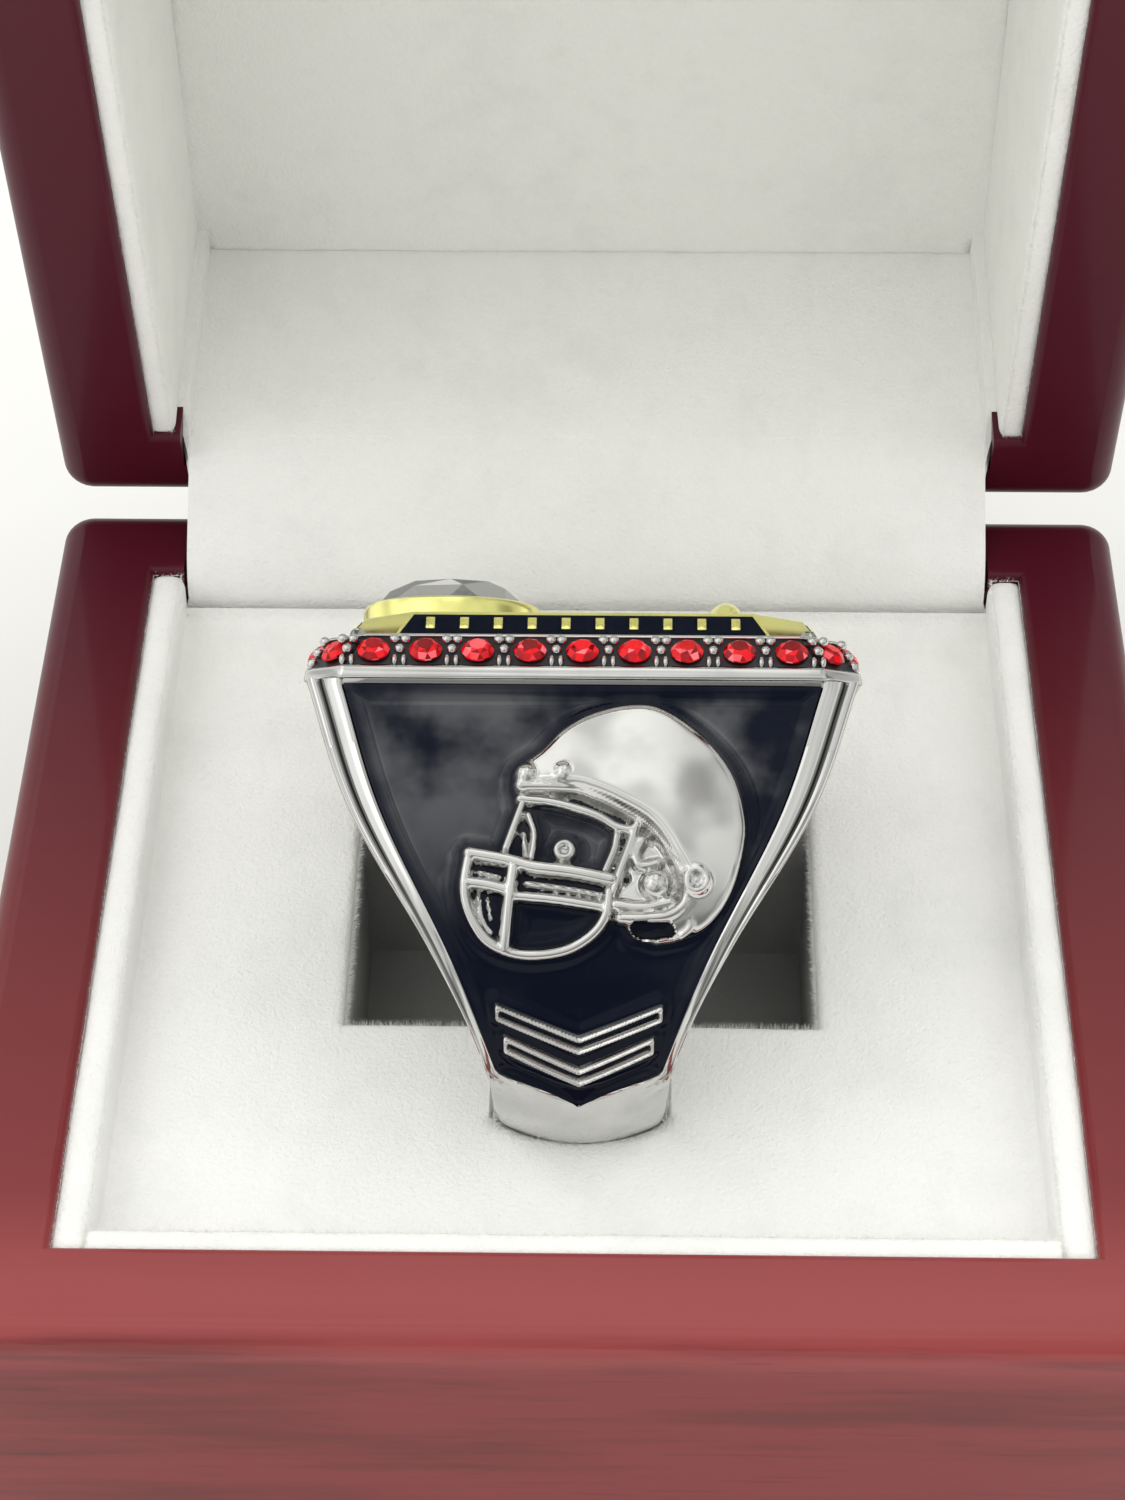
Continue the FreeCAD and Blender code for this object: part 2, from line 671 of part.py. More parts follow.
def head_sides(half_x, half_y, cut):
    return [Side(-90, half_y, half_x - cut), Side(90, half_y, half_x - cut),
            Side(0, half_x, half_y - cut), Side(180, half_x, half_y - cut)]


def corner_sides(half_x, half_y, cut):
    """The middle of each face that cuts a corner, at the lower edge, and the way that it faces."""
    corners = []
    for sign_x in (1, -1):
        for sign_y in (1, -1):
            middle = V(sign_x * (half_x - cut / 2), sign_y * (half_y - cut / 2), 0)
            corners.append((middle, V(sign_x, sign_y, 0).normalize()))
    return corners


def red_stone(place, facing):
    return Part.makeCone(size("stone_radius"), size("stone_table"), size("stone_height"), place, facing)


def ring_bezel():
    over = size("ledge_overhang")
    cut = size("corner_cut")
    slope = size("channel_slope")
    rise = size("channel_height")
    ledge = tapered(head_x + over, head_y + over, cut, ledge_low, channel_low, size("ledge_draw"))
    add_shape("bezel_ledge", ledge, ring_pose)
    add_shape("stone_channel", tapered(head_x, head_y, cut, channel_low, lip_low, slope), ring_pose)
    lip = size("lip_overhang")
    lip_x = head_x - slope + lip
    lip_y = head_y - slope + lip
    add_shape("bezel_lip", tapered(lip_x, lip_y, cut, lip_low, deck_low, lip), ring_pose)

    bead_radius = size("bead_radius")
    stones = []
    beads = []
    pitch = size("stone_pitch")
    for side in head_sides(head_x, head_y, cut):
        facing = side.facing(slope, rise)
        count = int(2 * side.half_length / pitch)
        for step in range(count):
            shift = (step - (count - 1) / 2) * pitch
            middle = side.point(channel_low, slope, rise, STONE_SHARE, shift)
            stones.append(red_stone(middle, facing))
        for step in range(count + 1):
            shift = (step - count / 2) * pitch
            for share in BEAD_SHARES:
                place = side.point(channel_low, slope, rise, share, shift)
                beads.append(Part.makeCone(bead_radius, bead_radius / 2, size("bead_height"), place, facing))
    corner_slope = slope * math.sqrt(2)
    for middle, out in corner_sides(head_x, head_y, cut):
        facing = (out * rise + V(0, 0, corner_slope)).normalize()
        place = middle - out * (corner_slope * STONE_SHARE) + V(0, 0, channel_low + rise * STONE_SHARE)
        stones.append(red_stone(place, facing))
    add_shape("red_stones", Part.makeCompound(stones), ring_pose)
    add_shape("stone_prongs", Part.makeCompound(beads), ring_pose)


def ring_deck():
    inset = size("channel_slope") + size("deck_inset")
    deck_x = head_x - inset
    deck_y = head_y - inset
    cut = size("deck_corner_cut")
    slope = size("deck_slope")
    rise = size("deck_height")
    cup_place = V(size("cup_x"), 0, deck_low)
    cup_solid = Part.makeCylinder(size("cup_radius"), rise + size("cup_height"), cup_place)
    deck = tapered(deck_x, deck_y, cut, deck_low, deck_high, slope).cut(cup_solid)
    add_shape("top_plate", deck, ring_pose)

    def plate(side, shares, middle, half, lift):
        """A thin plate on a sloping side of the deck, between two shares of its height."""
        low, high = shares
        facing = side.facing(slope, rise)
        corners = [side.point(deck_low, slope, rise, share, middle + shift) + facing * lift
                   for share, shift in ((low, -half), (low, half), (high, half), (high, -half))]
        return Part.Face(Part.makePolygon(corners + corners[:1])).extrude(facing * thick)

    strips = []
    bars = []
    thick = size("strip_thick")
    pitch = size("bar_pitch")
    for side in head_sides(deck_x, deck_y, cut):
        half = side.half_length - size("strip_margin")
        strips.append(plate(side, STRIP_SHARES, 0, half, 0).cut(cup_solid))
        count = int(2 * half / pitch)
        for step in range(count):
            bar = plate(side, BAR_SHARES, (step - (count - 1) / 2) * pitch, size("bar_width") / 2, thick)
            if bar.common(cup_solid).Volume < NO_VOLUME:
                bars.append(bar)
    add_shape("strip_enamel", Part.makeCompound(strips), ring_pose)
    add_shape("strip_bars", Part.makeCompound(bars), ring_pose)

    seat = size("cup_radius") - size("cup_wall")
    seat_deep = size("cup_height") / 2
    girdle = cup_place + V(0, 0, rise + size("cup_height"))
    well = Part.makeCylinder(seat, seat_deep, girdle - V(0, 0, seat_deep))
    add_shape("stone_cup", cup_solid.cut(well), ring_pose)
    crown = Part.makeCone(seat, size("gem_table"), size("gem_top") - size("cup_height"), girdle)
    add_shape("large_stone", well.fuse(crown).removeSplitter(), ring_pose)

    boss_place = V(size("boss_x"), 0, deck_high)
    half = V(0, size("boss_half_length"), 0)
    crest = boss_place + V(size("boss_radius"), 0, 0)
    arc = Part.Arc(boss_place - half, crest, boss_place + half).toShape()
    spine = Part.LineSegment(boss_place + half, boss_place - half).toShape()
    boss = Part.Face(Part.Wire([arc, spine])).revolve(boss_place, V(0, -1, 0), 180)
    add_shape("football_boss", boss, ring_pose)

    corner_stones = []
    stone = size("clear_stone_radius")
    for middle, out in corner_sides(deck_x, deck_y, cut):
        place = middle + out * (2 * stone) + V(0, 0, deck_low)
        corner_stones.append(Part.makeCone(stone, stone / 2, size("clear_stone_height"), place))
    add_shape("clear_stones", Part.makeCompound(corner_stones), ring_pose)


base_shell()
base_boards()
base_liners()
ring_pad()
hinge_leaf("hinge_leaf_base", (0, 2, 4), "base_height - notch_deep", "base_leaf_reach", "pin_radius")
hinge_leaf("hinge_leaf_lid", (1, 3), "base_height + rim_gap + notch_deep - leaf_thick", "lid_leaf_reach",
           "pin_radius + pin_clear", lid_open)
hinge_pin()
leaf_edge = hinge_point.y - size("knuckle_radius") + size("leaf_thick") / 2 - size("leaf_setback")
screw_y = leaf_edge - size("lid_leaf_reach") / 2
head_depth = size("notch_deep") - size("leaf_thick")
hinge_screws("hinge_screws_base", screw_y, rim - head_depth, V(0, 0, -1))
hinge_screws("hinge_screws_lid", screw_y, lid_rim + head_depth, V(0, 0, 1), lid_open)
hinge_flap()
lid_shell()
lid_liners()
lid_pad()
ring_shoulders()
ring_bezel()
ring_deck()
doc.recompute()

for item in doc.Objects:
    if "Invalid" in item.State or "Error" in item.State:
        raise RuntimeError(f"{item.Label} failed: {item.State}")
for piece in pieces:
    if piece.Shape.isNull() or not piece.Shape.isValid():
        raise RuntimeError(f"{piece.Label} has no valid shape")
for piece in pieces:
    piece.Shape.exportStep(f"parts/{piece.Label}.step")
    print(f"{piece.Label}: {len(piece.Shape.Solids)} solids, {piece.Shape.Volume:.1f} mm3")
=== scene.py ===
"""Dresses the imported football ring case: velvet, lacquer, the cast ring with its stones, and the stage.

The file is laid out as an add-on. Its panel in the sidebar lists one operator for each group of pieces.
Shapes are worked out in millimetres and turned into metres when a piece is made.
"""
import json
import math
import random
from types import SimpleNamespace

import bmesh
import bpy
from bpy.props import FloatProperty, FloatVectorProperty, PointerProperty
from mathutils import Matrix, Vector, noise
from mathutils.bvhtree import BVHTree
from mathutils.geometry import intersect_point_line


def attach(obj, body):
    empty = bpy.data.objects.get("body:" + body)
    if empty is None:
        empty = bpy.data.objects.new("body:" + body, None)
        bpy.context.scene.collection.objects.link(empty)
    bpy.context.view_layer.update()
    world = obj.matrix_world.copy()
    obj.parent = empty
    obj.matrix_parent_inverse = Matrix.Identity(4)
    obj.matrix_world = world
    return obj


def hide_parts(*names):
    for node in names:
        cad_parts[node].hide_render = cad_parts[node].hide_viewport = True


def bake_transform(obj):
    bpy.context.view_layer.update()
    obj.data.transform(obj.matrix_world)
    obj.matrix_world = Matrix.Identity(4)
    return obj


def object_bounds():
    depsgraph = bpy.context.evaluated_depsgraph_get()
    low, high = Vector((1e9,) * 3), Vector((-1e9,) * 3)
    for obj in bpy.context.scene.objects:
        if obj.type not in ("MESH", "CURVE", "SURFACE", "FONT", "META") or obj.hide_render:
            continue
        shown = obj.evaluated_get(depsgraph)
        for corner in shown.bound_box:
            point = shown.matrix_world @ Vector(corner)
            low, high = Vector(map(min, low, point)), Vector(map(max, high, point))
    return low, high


bl_info = {
    "name": "Football ring display case",
    "version": (1, 0, 0),
    "blender": (4, 5, 0),
    "location": "3D View > Sidebar > Ring case",
    "description": "Velvet, lacquer, the cast ring with its stones, and the stage of a ring display case",
    "category": "Object",
}

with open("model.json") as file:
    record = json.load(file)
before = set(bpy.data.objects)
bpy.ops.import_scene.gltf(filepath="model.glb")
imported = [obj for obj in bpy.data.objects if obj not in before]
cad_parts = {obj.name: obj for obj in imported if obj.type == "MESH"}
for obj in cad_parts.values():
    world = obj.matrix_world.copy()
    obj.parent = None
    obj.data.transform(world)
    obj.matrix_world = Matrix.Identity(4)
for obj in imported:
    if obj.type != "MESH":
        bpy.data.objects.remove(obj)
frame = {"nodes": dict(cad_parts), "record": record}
CAD_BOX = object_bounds()
MM = 0.001
IMAGE_HEIGHT = 1500
SENSOR = 36.0
UP = Vector((0, 0, 1))


# Sizes and colours that a user would change

def length(name, words, millimetres):
    return FloatProperty(name=name, description=words, default=millimetres * MM, unit="LENGTH", precision=5)


def spot(name, words, millimetres):
    return FloatVectorProperty(name=name, description=words, default=[value * MM for value in millimetres],
                               unit="LENGTH", subtype="TRANSLATION")


def angle(name, words, degrees):
    return FloatProperty(name=name, description=words, default=math.radians(degrees), subtype="ANGLE")


def amount(name, words, value, subtype="NONE"):
    return FloatProperty(name=name, description=words, default=value, subtype=subtype)


def colour(name, words, value):
    return FloatVectorProperty(name=name, description=words, default=value, subtype="COLOR", min=0.0, max=1.0)


class VelvetSizes(bpy.types.PropertyGroup):
    pad_crown: length("Pad crown", "How far the pad swells in its middle", 0.35)
    pad_rise: length("Pad edge", "How far the pad's velvet creeps up the liners", 1.0)
    slot_round: length("Slot edge", "Rounding of the velvet over the slot's edge", 0.45)
    slot_cloth: length("Slot cloth", "Thickness of the velvet that lines the slot", 0.6)
    slot_lip: length("Slot lip", "How far the velvet bulges over the slot at the front", 0.7)
    dent_clear: length("Dent clearance", "Room between the band and the velvet that it presses in", 0.03)
    dent_half: length("Dent half width", "Half the width of the dent that the band makes", 4.85)
    dent_edge: length("Dent edge", "Width over which the velvet rises beside the band", 0.4)
    board_round: length("Liner edge", "Rounding of the velvet-covered liners", 0.8)
    board_press: length("Liner press", "How far the liners are pressed into what stands beside them", 0.25)
    panel_front: length("Lid panel", "Thickness of the padded panel in the lid, at its front", 2.4)
    panel_knee: length("Lid panel knee", "How far behind the middle the panel starts to swell", 3.0)
    panel_neck: length("Lid panel neck", "How far behind the middle the panel narrows", 26.9)
    panel_round: length("Lid panel edge", "Rounding of the padded panel in the lid", 0.7)
    panel_crown: length("Lid panel crown", "How far the panel in the lid swells in its middle", 0.3)
    wave: length("Nap wave", "Height of the slow waves in the velvet", 0.07)
    flap_thick: length("Flap thickness", "Thickness of the velvet strip over the hinge", 0.55)
    flap_foot: length("Flap foot", "How much wider the flap is behind the pad, on each side", 0.45)
    flap_bend: length("Flap bend", "Length of the flap that bends round the rear rim", 2.4)
    flap_start: length("Flap in the lid", "How far inside the lid the flap meets the rear lining", 1.5)
    flap_tuck: length("Flap tuck", "How far the flap runs into the lid's panel at the fold", 0.9)
    felt_corner: length("Felt corner", "Rounding of the felt's corners", 2.0)


class RingSizes(bpy.types.PropertyGroup):
    centre: spot("Centre", "Middle of the finger hole", (0.25, -6.84, 33.5))
    lean: angle("Lean", "How far the ring leans back", 52.0)
    bore: length("Finger hole", "Radius of the finger hole", 10.5)
    radius: length("Band radius", "Outer radius of the band", 12.5)
    head_top: length("Head height", "Height of the head's underside over the ring's middle", 13.1)
    head_half_depth: length("Head half depth", "Half the depth of the head, front to back", 9.8)
    head_half_width: length("Head half width", "Half the width of the head, along the finger", 15.3)
    foot_dome: length("Foot dome", "How far the band's outside falls at its edges under the panel", 1.3)
    recess: length("Recess", "Depth of the recess under the enamel", 0.6)
    enamel_sunk: length("Enamel level", "How far the enamel lies below the shoulder", 0.42)
    corner_cut: length("Head corner", "How much is cut off the head's corners", 2.2)
    ledge_rise: length("Ledge height", "Height of the silver ledge under the red stones", 0.8)
    channel_rise: length("Channel height", "Height of the dark channel that holds the red stones", 1.7)
    channel_slope: length("Channel slope", "How far the stone channel leans in", 1.0)
    lip_rise: length("Lip height", "Height of the silver lip over the red stones", 0.2)
    deck_rise: length("Deck height", "Height of the gold top's plate", 1.5)
    deck_cut: length("Deck corner", "How much is cut off the corners of the gold top", 3.0)
    deck_slope: length("Deck slope", "How far the sides of the gold top lean in", 1.0)
    stone_pitch: length("Stone pitch", "Distance from one red stone to the next", 2.9)
    stone_radius: length("Stone radius", "Radius of a red stone", 0.92)
    stone_tilt: angle("Stone tilt", "How far the red stones face up from their channel", 14.0)
    bead_radius: length("Bead radius", "Radius of the beads between the red stones", 0.31)
    prong_radius: length("Prong radius", "Radius of the prongs under the beads", 0.21)
    strip_half: length("Strip half height", "Half the height of a dark strip on the gold top", 0.70)
    strip_end: length("Strip end", "Gold left at each end of a dark strip", 0.25)
    bar_pitch: length("Bar pitch", "Distance from one gold bar to the next on the dark strips", 1.9)
    bar_half_width: length("Bar half width", "Half the width of a gold bar", 0.26)
    bar_half_height: length("Bar half height", "Half the height of a gold bar", 0.42)
    cup_flare: length("Cup flare", "How far the cup's wall swells over its seat", 0.8)
    cup_drop: length("Cup drop", "How much lower the cup stands than its solid", 0.85)
    gem_drop: length("Large stone drop", "How much lower the large stone stands than its solid", 0.60)
    boss_lift: length("Football lift", "How much taller the football boss is than its solid", 0.35)
    small_stone: length("Corner stone", "Radius of the small clear stones at the corners", 0.48)


class FinishColours(bpy.types.PropertyGroup):
    lacquer: colour("Lacquer", "Red of the lacquered wood at the front", (0.215, 0.026, 0.028))
    # Painted highlight: the front rim is painted a paler red where its gloss catches the light.
    lacquer_rim_highlight: colour("Worn lacquer", "Paler red of the front edge", (0.420, 0.085, 0.085))
    # Painted shade: the wood is painted a deeper red towards the rear, where the lid shades it.
    lacquer_rear_shade: colour("Lacquer at the rear", "Deeper red towards the lid", (0.068, 0.004, 0.013))
    velvet: colour("Velvet", "White of the nap", (0.905, 0.905, 0.882))
    velvet_shade: colour("Velvet shade", "Nap that is brushed the other way", (0.790, 0.795, 0.775))
    # Painted shade: the velvet is darkened low in the slot, where shade falls.
    velvet_slot_shade: colour("Velvet in the slot", "Nap low in the slot", (0.440, 0.445, 0.430))
    felt: colour("Felt", "Felt under the case", (0.040, 0.012, 0.014))
    board: colour("Board", "Bare board of the floor", (0.420, 0.300, 0.190))
    silver: colour("Silver", "Polished white metal", (0.620, 0.617, 0.605))
    blackened: colour("Blackened silver", "Floor of the stone channel", (0.055, 0.055, 0.060))
    enamel: colour("Enamel", "Blue-black enamel", (0.002, 0.004, 0.012))
    gold: colour("Gold", "Bright yellow plating", (0.970, 0.940, 0.340))
    brass: colour("Brass", "Hinge metal", (0.720, 0.520, 0.240))
    red_stone: colour("Red stones", "Red of the stones in the channel", (0.820, 0.003, 0.010))
    # Painted glint and painted shade on the facets of the red stones.
    red_painted_glint: colour("Red glint", "Brightest facets of the red stones", (1.000, 0.200, 0.230))
    red_painted_shade: colour("Red shade", "Darkest facets of the red stones", (0.220, 0.000, 0.003))
    clear_stone: colour("Clear stones", "Grey of the clear stones", (0.480, 0.490, 0.470))
    # Painted glint and painted shade on the facets of the clear stones.
    clear_painted_glint: colour("Clear glint", "Brightest facets of the clear stones", (0.950, 0.950, 0.920))
    clear_painted_shade: colour("Clear shade", "Darkest facets of the clear stones", (0.060, 0.070, 0.070))
    ground: colour("Floor", "Floor under the case", (0.860, 0.860, 0.830))
    ground_speck: colour("Floor specks", "Slightly darker patches of the floor", (0.840, 0.840, 0.820))


class StageSizes(bpy.types.PropertyGroup):
    eye: spot("Camera", "Where the camera stands", (2.321, -130.342, 175.771))
    yaw: angle("Yaw", "Turn of the camera to the right", math.degrees(-0.025))
    pitch: angle("Pitch", "How far the camera looks down", 45.93)
    roll: angle("Roll", "Tilt of the camera", -0.59)
    focal: amount("Focal length", "In pixels of the photograph's frame", 3254.3)
    lamp_place: spot("Key light place", "Where the large light hangs", (-350.0, -450.0, 650.0))
    lamp_aim: spot("Key light aim", "What the large light points at", (0.0, 0.0, 30.0))
    lamp_side: length("Key light size", "Side of the large light", 900.0)
    lamp_power: amount("Key light", "Power of the large light overhead", 1.0, "POWER")
    sky: amount("Sky", "Strength of the light from overhead", 1.44)
    horizon: amount("Horizon", "Strength of the light from the sides", 1.0)
    front_dim: amount("Front", "Light that the photographer takes away", 0.80)
    backdrop: amount("Backdrop", "Brightness of the background in the picture", 0.86)
    floor_half: length("Floor", "Half the side of the floor", 9000.0)


def in_mm(group):
    """The values of a property group as plain numbers, lengths in millimetres."""
    values = SimpleNamespace()
    for name, kind in group.bl_rna.properties.items():
        if kind.type == "FLOAT":
            value = getattr(group, name)
            unit = MM if kind.unit == "LENGTH" else 1.0
            setattr(values, name, Vector(value) / unit if kind.is_array else value / unit)
    return values


# Places of the lid and the ring in the frame

LID_JOINT = next(joint for joint in frame["record"]["behaviour"]["joints"] if joint["name"] == "lid_hinge")
HINGE = Vector(LID_JOINT["pos_m"])
OPEN_ANGLE = math.radians(LID_JOINT["range_deg"][1])
LID_OPEN = Matrix.Translation(HINGE) @ Matrix.Rotation(-OPEN_ANGLE, 4, "X") @ Matrix.Translation(-HINGE)
HALF_TURN = Matrix.Rotation(math.pi, 4, "Z")


def ring_place(sizes):
    return Matrix.Translation(sizes.centre * MM) @ Matrix.Rotation(-sizes.lean, 4, "X")


def box_in(node, place=None):
    """The lowest and highest corner of a CAD node, in millimetres, seen in the given place's own axes."""
    back = place.inverted() if place else Matrix.Identity(4)
    corners = [back @ vertex.co / MM for vertex in frame["nodes"][node].data.vertices]
    low = Vector([min(corner[axis] for corner in corners) for axis in range(3)])
    high = Vector([max(corner[axis] for corner in corners) for axis in range(3)])
    return low, high


# Finishes: one node material each

class Reading:
    """A number that a socket gives. Sums on it add Math nodes."""

    def __init__(self, finish, socket):
        self.finish = finish
        self.socket = socket

    def math(self, operation, *values):
        made = self.finish.node("ShaderNodeMath", {"operation": operation}, dict(enumerate(values)))
        return Reading(self.finish, made.outputs[0])

    def __add__(self, other):
        return self.math("ADD", self, other)

    def __sub__(self, other):
        return self.math("SUBTRACT", self, other)

    def __rsub__(self, other):
        return self.math("SUBTRACT", other, self)

    def __mul__(self, other):
        return self.math("MULTIPLY", self, other)

    __radd__ = __add__
    __rmul__ = __mul__


class Nodes:
    """Short ways to add nodes to a tree."""

    def __init__(self, tree):
        self.tree = tree

    def node(self, kind, settings=None, sockets=None):
        made = self.tree.nodes.new(kind)
        for name, value in (settings or {}).items():
            setattr(made, name, value)
        for name, value in (sockets or {}).items():
            self.plug(made.inputs[name], value)
        return made

    def plug(self, socket, value):
        if isinstance(value, Reading):
            self.tree.links.new(value.socket, socket)
        else:
            socket.default_value = value

    def ramp(self, value, low, high):
        """Nothing up to the low value, all of it from the high one, smooth between."""
        made = self.node("ShaderNodeMapRange", {"interpolation_type": "SMOOTHSTEP"},
                         {"Value": value, "From Min": low, "From Max": high})
        return Reading(self, made.outputs[0])

    def dot(self, vector, direction):
        made = self.node("ShaderNodeVectorMath", {"operation": "DOT_PRODUCT"}, {0: vector, 1: direction})
        return Reading(self, made.outputs["Value"])


class Finish(Nodes):
    """A material under one Principled shader."""

    def __init__(self, name):
        self.material = bpy.data.materials.new(name)
        self.material.use_nodes = True
        super().__init__(self.material.node_tree)
        self.shader = self.tree.nodes["Principled BSDF"]
        self.place = Reading(self, self.node("ShaderNodeTexCoord").outputs["Object"])

    def along(self, *direction):
        """How far a place lies along a direction, in metres."""
        return self.dot(self.place, direction)

    def noise(self, scale, stretch=(1.0, 1.0, 1.0), detail=3.0, roughness=0.5):
        """Noise on Object coordinates, so many lumps to the metre."""
        place = self.node("ShaderNodeMapping", {}, {"Vector": self.place, "Scale": stretch})
        made = self.node("ShaderNodeTexNoise", {}, {"Vector": Reading(self, place.outputs[0]), "Scale": scale,
                                                    "Detail": detail, "Roughness": roughness})
        return Reading(self, made.outputs[0])

    def attribute(self, name):
        made = self.node("ShaderNodeAttribute", {"attribute_name": name})
        return Reading(self, made.outputs["Fac"])

    def blend(self, share, first, second):
        """A colour between two, by a share."""
        made = self.node("ShaderNodeMix", {"data_type": "RGBA"}, {0: share, 6: rgba(first), 7: rgba(second)})
        return Reading(self, made.outputs[2])

    def bump(self, height, distance, strength=1.0, under=None):
        sockets = {"Height": height, "Distance": distance, "Strength": strength}
        if under:
            sockets["Normal"] = under
        return Reading(self, self.node("ShaderNodeBump", {}, sockets).outputs[0])

    def surface(self, sockets):
        for name, value in sockets.items():
            self.plug(self.shader.inputs[name], value)
        return self.material


def rgba(value):
    return value if isinstance(value, Reading) else (*value, 1.0)


def scaled(tone, share):
    return [share * part for part in tone]


# The front face and the top of the base, in metres, where the lacquer changes
FRONT_FACE = -CAD_BOX[0].y
BASE_RIM = box_in("base_shell")[1].z * MM


def lacquer(finish, colours):
    """Red-stained wood with fine grain along X, under a clear coat with a faint orange peel."""
    grain = finish.noise(34.0, stretch=(1.0, 14.0, 14.0), detail=5.0, roughness=0.6)
    pores = finish.noise(120.0, stretch=(1.0, 22.0, 22.0), detail=2.0)
    clouds = finish.noise(45.0, detail=2.0)
    peel = finish.noise(900.0, detail=2.0)
    forwards = finish.along(0.0, -1.0, 0.0)
    # Painted shade: the red deepens towards the rear, where the lid shades the wood; the coat thins there
    # too.
    rear = finish.ramp(finish.along(0.0, 1.0, 0.0), -0.040, 0.036)
    # Painted highlight: the front rim is paler, where its gloss catches the light.
    rim_highlight = (finish.ramp(forwards, FRONT_FACE - 0.011, FRONT_FACE - 0.003)
                 * finish.ramp(finish.along(0.0, 0.0, 1.0), BASE_RIM - 0.004, BASE_RIM - 0.001))
    red = finish.blend(rear, colours.lacquer, colours.lacquer_rear_shade)
    red = finish.blend(rim_highlight * 0.40, red, colours.lacquer_rim_highlight)
    streak = finish.ramp(grain, 0.42, 0.68) * 0.75 + finish.ramp(pores, 0.60, 0.74) * 0.5
    shown = finish.ramp(forwards, FRONT_FACE - 0.0008, FRONT_FACE - 0.0002) * 0.6 + 0.06
    return finish.surface({
        "Base Color": finish.blend(streak * shown, red, scaled(colours.lacquer, 0.3)),
        "Roughness": clouds * 0.15 + 0.34,
        "Normal": finish.bump(peel, 0.00004, 0.5),
        "Coat Weight": 0.45 - rear * 0.26,
        "Coat Roughness": 0.09,
        "Specular IOR Level": 0.15,
    })


def velvet(finish, colours):
    """White pile: brushed patches, fine fibres and a soft sheen, with painted shade low in the slot."""
    patches = finish.noise(110.0, detail=4.0, roughness=0.6)
    brushed = finish.noise(420.0, stretch=(1.0, 0.55, 1.0))
    fibres = finish.noise(3600.0, detail=2.0, roughness=0.7)
    shade = finish.ramp(patches, 0.45, 0.72) * 0.42 + finish.ramp(brushed, 0.5, 0.8) * 0.28
    nap = finish.blend(shade + finish.ramp(fibres, 0.55, 0.85) * 0.3, colours.velvet, colours.velvet_shade)
    lay = finish.bump(brushed, 0.00022, 0.5)
    return finish.surface({
        # Painted shade: the "depth" attribute darkens the nap towards the slot's floor.
        "Base Color": finish.blend(finish.attribute("depth"), nap, colours.velvet_slot_shade),
        "Roughness": 0.95,
        "Normal": finish.bump(fibres, 0.00012, 0.9, lay),
        "Sheen Weight": 0.10,
        "Sheen Roughness": 0.45,
        "Specular IOR Level": 0.1,
    })


def felt(finish, colours):
    fibres = finish.noise(2200.0, roughness=0.7)
    clumps = finish.noise(260.0, detail=2.0)
    return finish.surface({
        "Base Color": finish.blend(fibres * 0.6 + clumps * 0.3, colours.felt, scaled(colours.felt, 2.2)),
        "Roughness": 0.95,
        "Normal": finish.bump(fibres, 0.0002, 0.8),
        "Sheen Weight": 0.2,
    })


def board(finish, colours):
    fibres = finish.noise(500.0, stretch=(1.0, 3.0, 3.0))
    return finish.surface({
        "Base Color": finish.blend(fibres, colours.board, scaled(colours.board, 0.75)),
        "Roughness": fibres * 0.2 + 0.6,
        "Normal": finish.bump(fibres, 0.0001, 0.5),
    })


def metal(finish, tone, rough, worn, lumps, uneven=0.35):
    """Polished cast metal: a little cloudy, not quite flat, and tarnished in its groove."""
    cloud = finish.noise(300.0)
    swell = finish.noise(lumps, detail=1.0)
    scratch = finish.noise(2500.0, stretch=(1.0, 0.2, 1.0), detail=2.0)
    polished = finish.blend(finish.ramp(cloud, 0.45, 0.75), tone, scaled(tone, 0.86))
    return finish.surface({
        "Base Color": finish.blend(finish.attribute("groove"), polished, scaled(tone, 0.06)),
        "Metallic": 1.0,
        "Roughness": finish.ramp(cloud, 0.4, 0.8) * worn + scratch * worn + rough,
        "Normal": finish.bump(swell, 0.00005, uneven),
    })


def enamel(finish, colours):
    """Blue-black enamel, poured and glossy, with a faint cloudy bloom."""
    bloom = finish.noise(160.0, detail=4.0)
    dust = finish.noise(5200.0, detail=1.0)
    cloudy = finish.ramp(bloom, 0.50, 0.75) * 0.5 + finish.ramp(dust, 0.72, 0.8) * 0.4
    return finish.surface({
        "Base Color": finish.blend(cloudy, colours.enamel, [0.010 + part for part in colours.enamel]),
        "Roughness": finish.ramp(bloom, 0.45, 0.8) * 0.12 + 0.05,
        "Normal": finish.bump(bloom, 0.00010, 0.5),
        "Specular IOR Level": 0.12,
        "Coat Weight": finish.attribute("pour") * finish.ramp(bloom, 0.38, 0.62),
        "Coat IOR": 1.9,
        "Coat Roughness": 0.08,
    })


def stone(finish, tone, glint, dark, clear):
    """A cut stone: each facet is painted with its own shade, up to a painted glint on the brightest."""
    facet = finish.attribute("facet")
    inner = finish.noise(1500.0, detail=1.0)
    facet_shading = finish.blend(finish.ramp(facet + inner * 0.3, 0.25, 0.75), dark, tone)
    return finish.surface({
        "Base Color": finish.blend(finish.ramp(facet, 0.82, 0.97), facet_shading, glint),
        "Roughness": inner * 0.06 + 0.02,
        "Transmission Weight": clear,
        "IOR": 1.6,
        "Specular IOR Level": 0.25,
    })


def ground(finish, colours):
    return finish.surface({
        "Base Color": finish.blend(finish.noise(40.0), colours.ground, colours.ground_speck),
        "Roughness": 0.8,
        "Specular IOR Level": 0.1,
    })


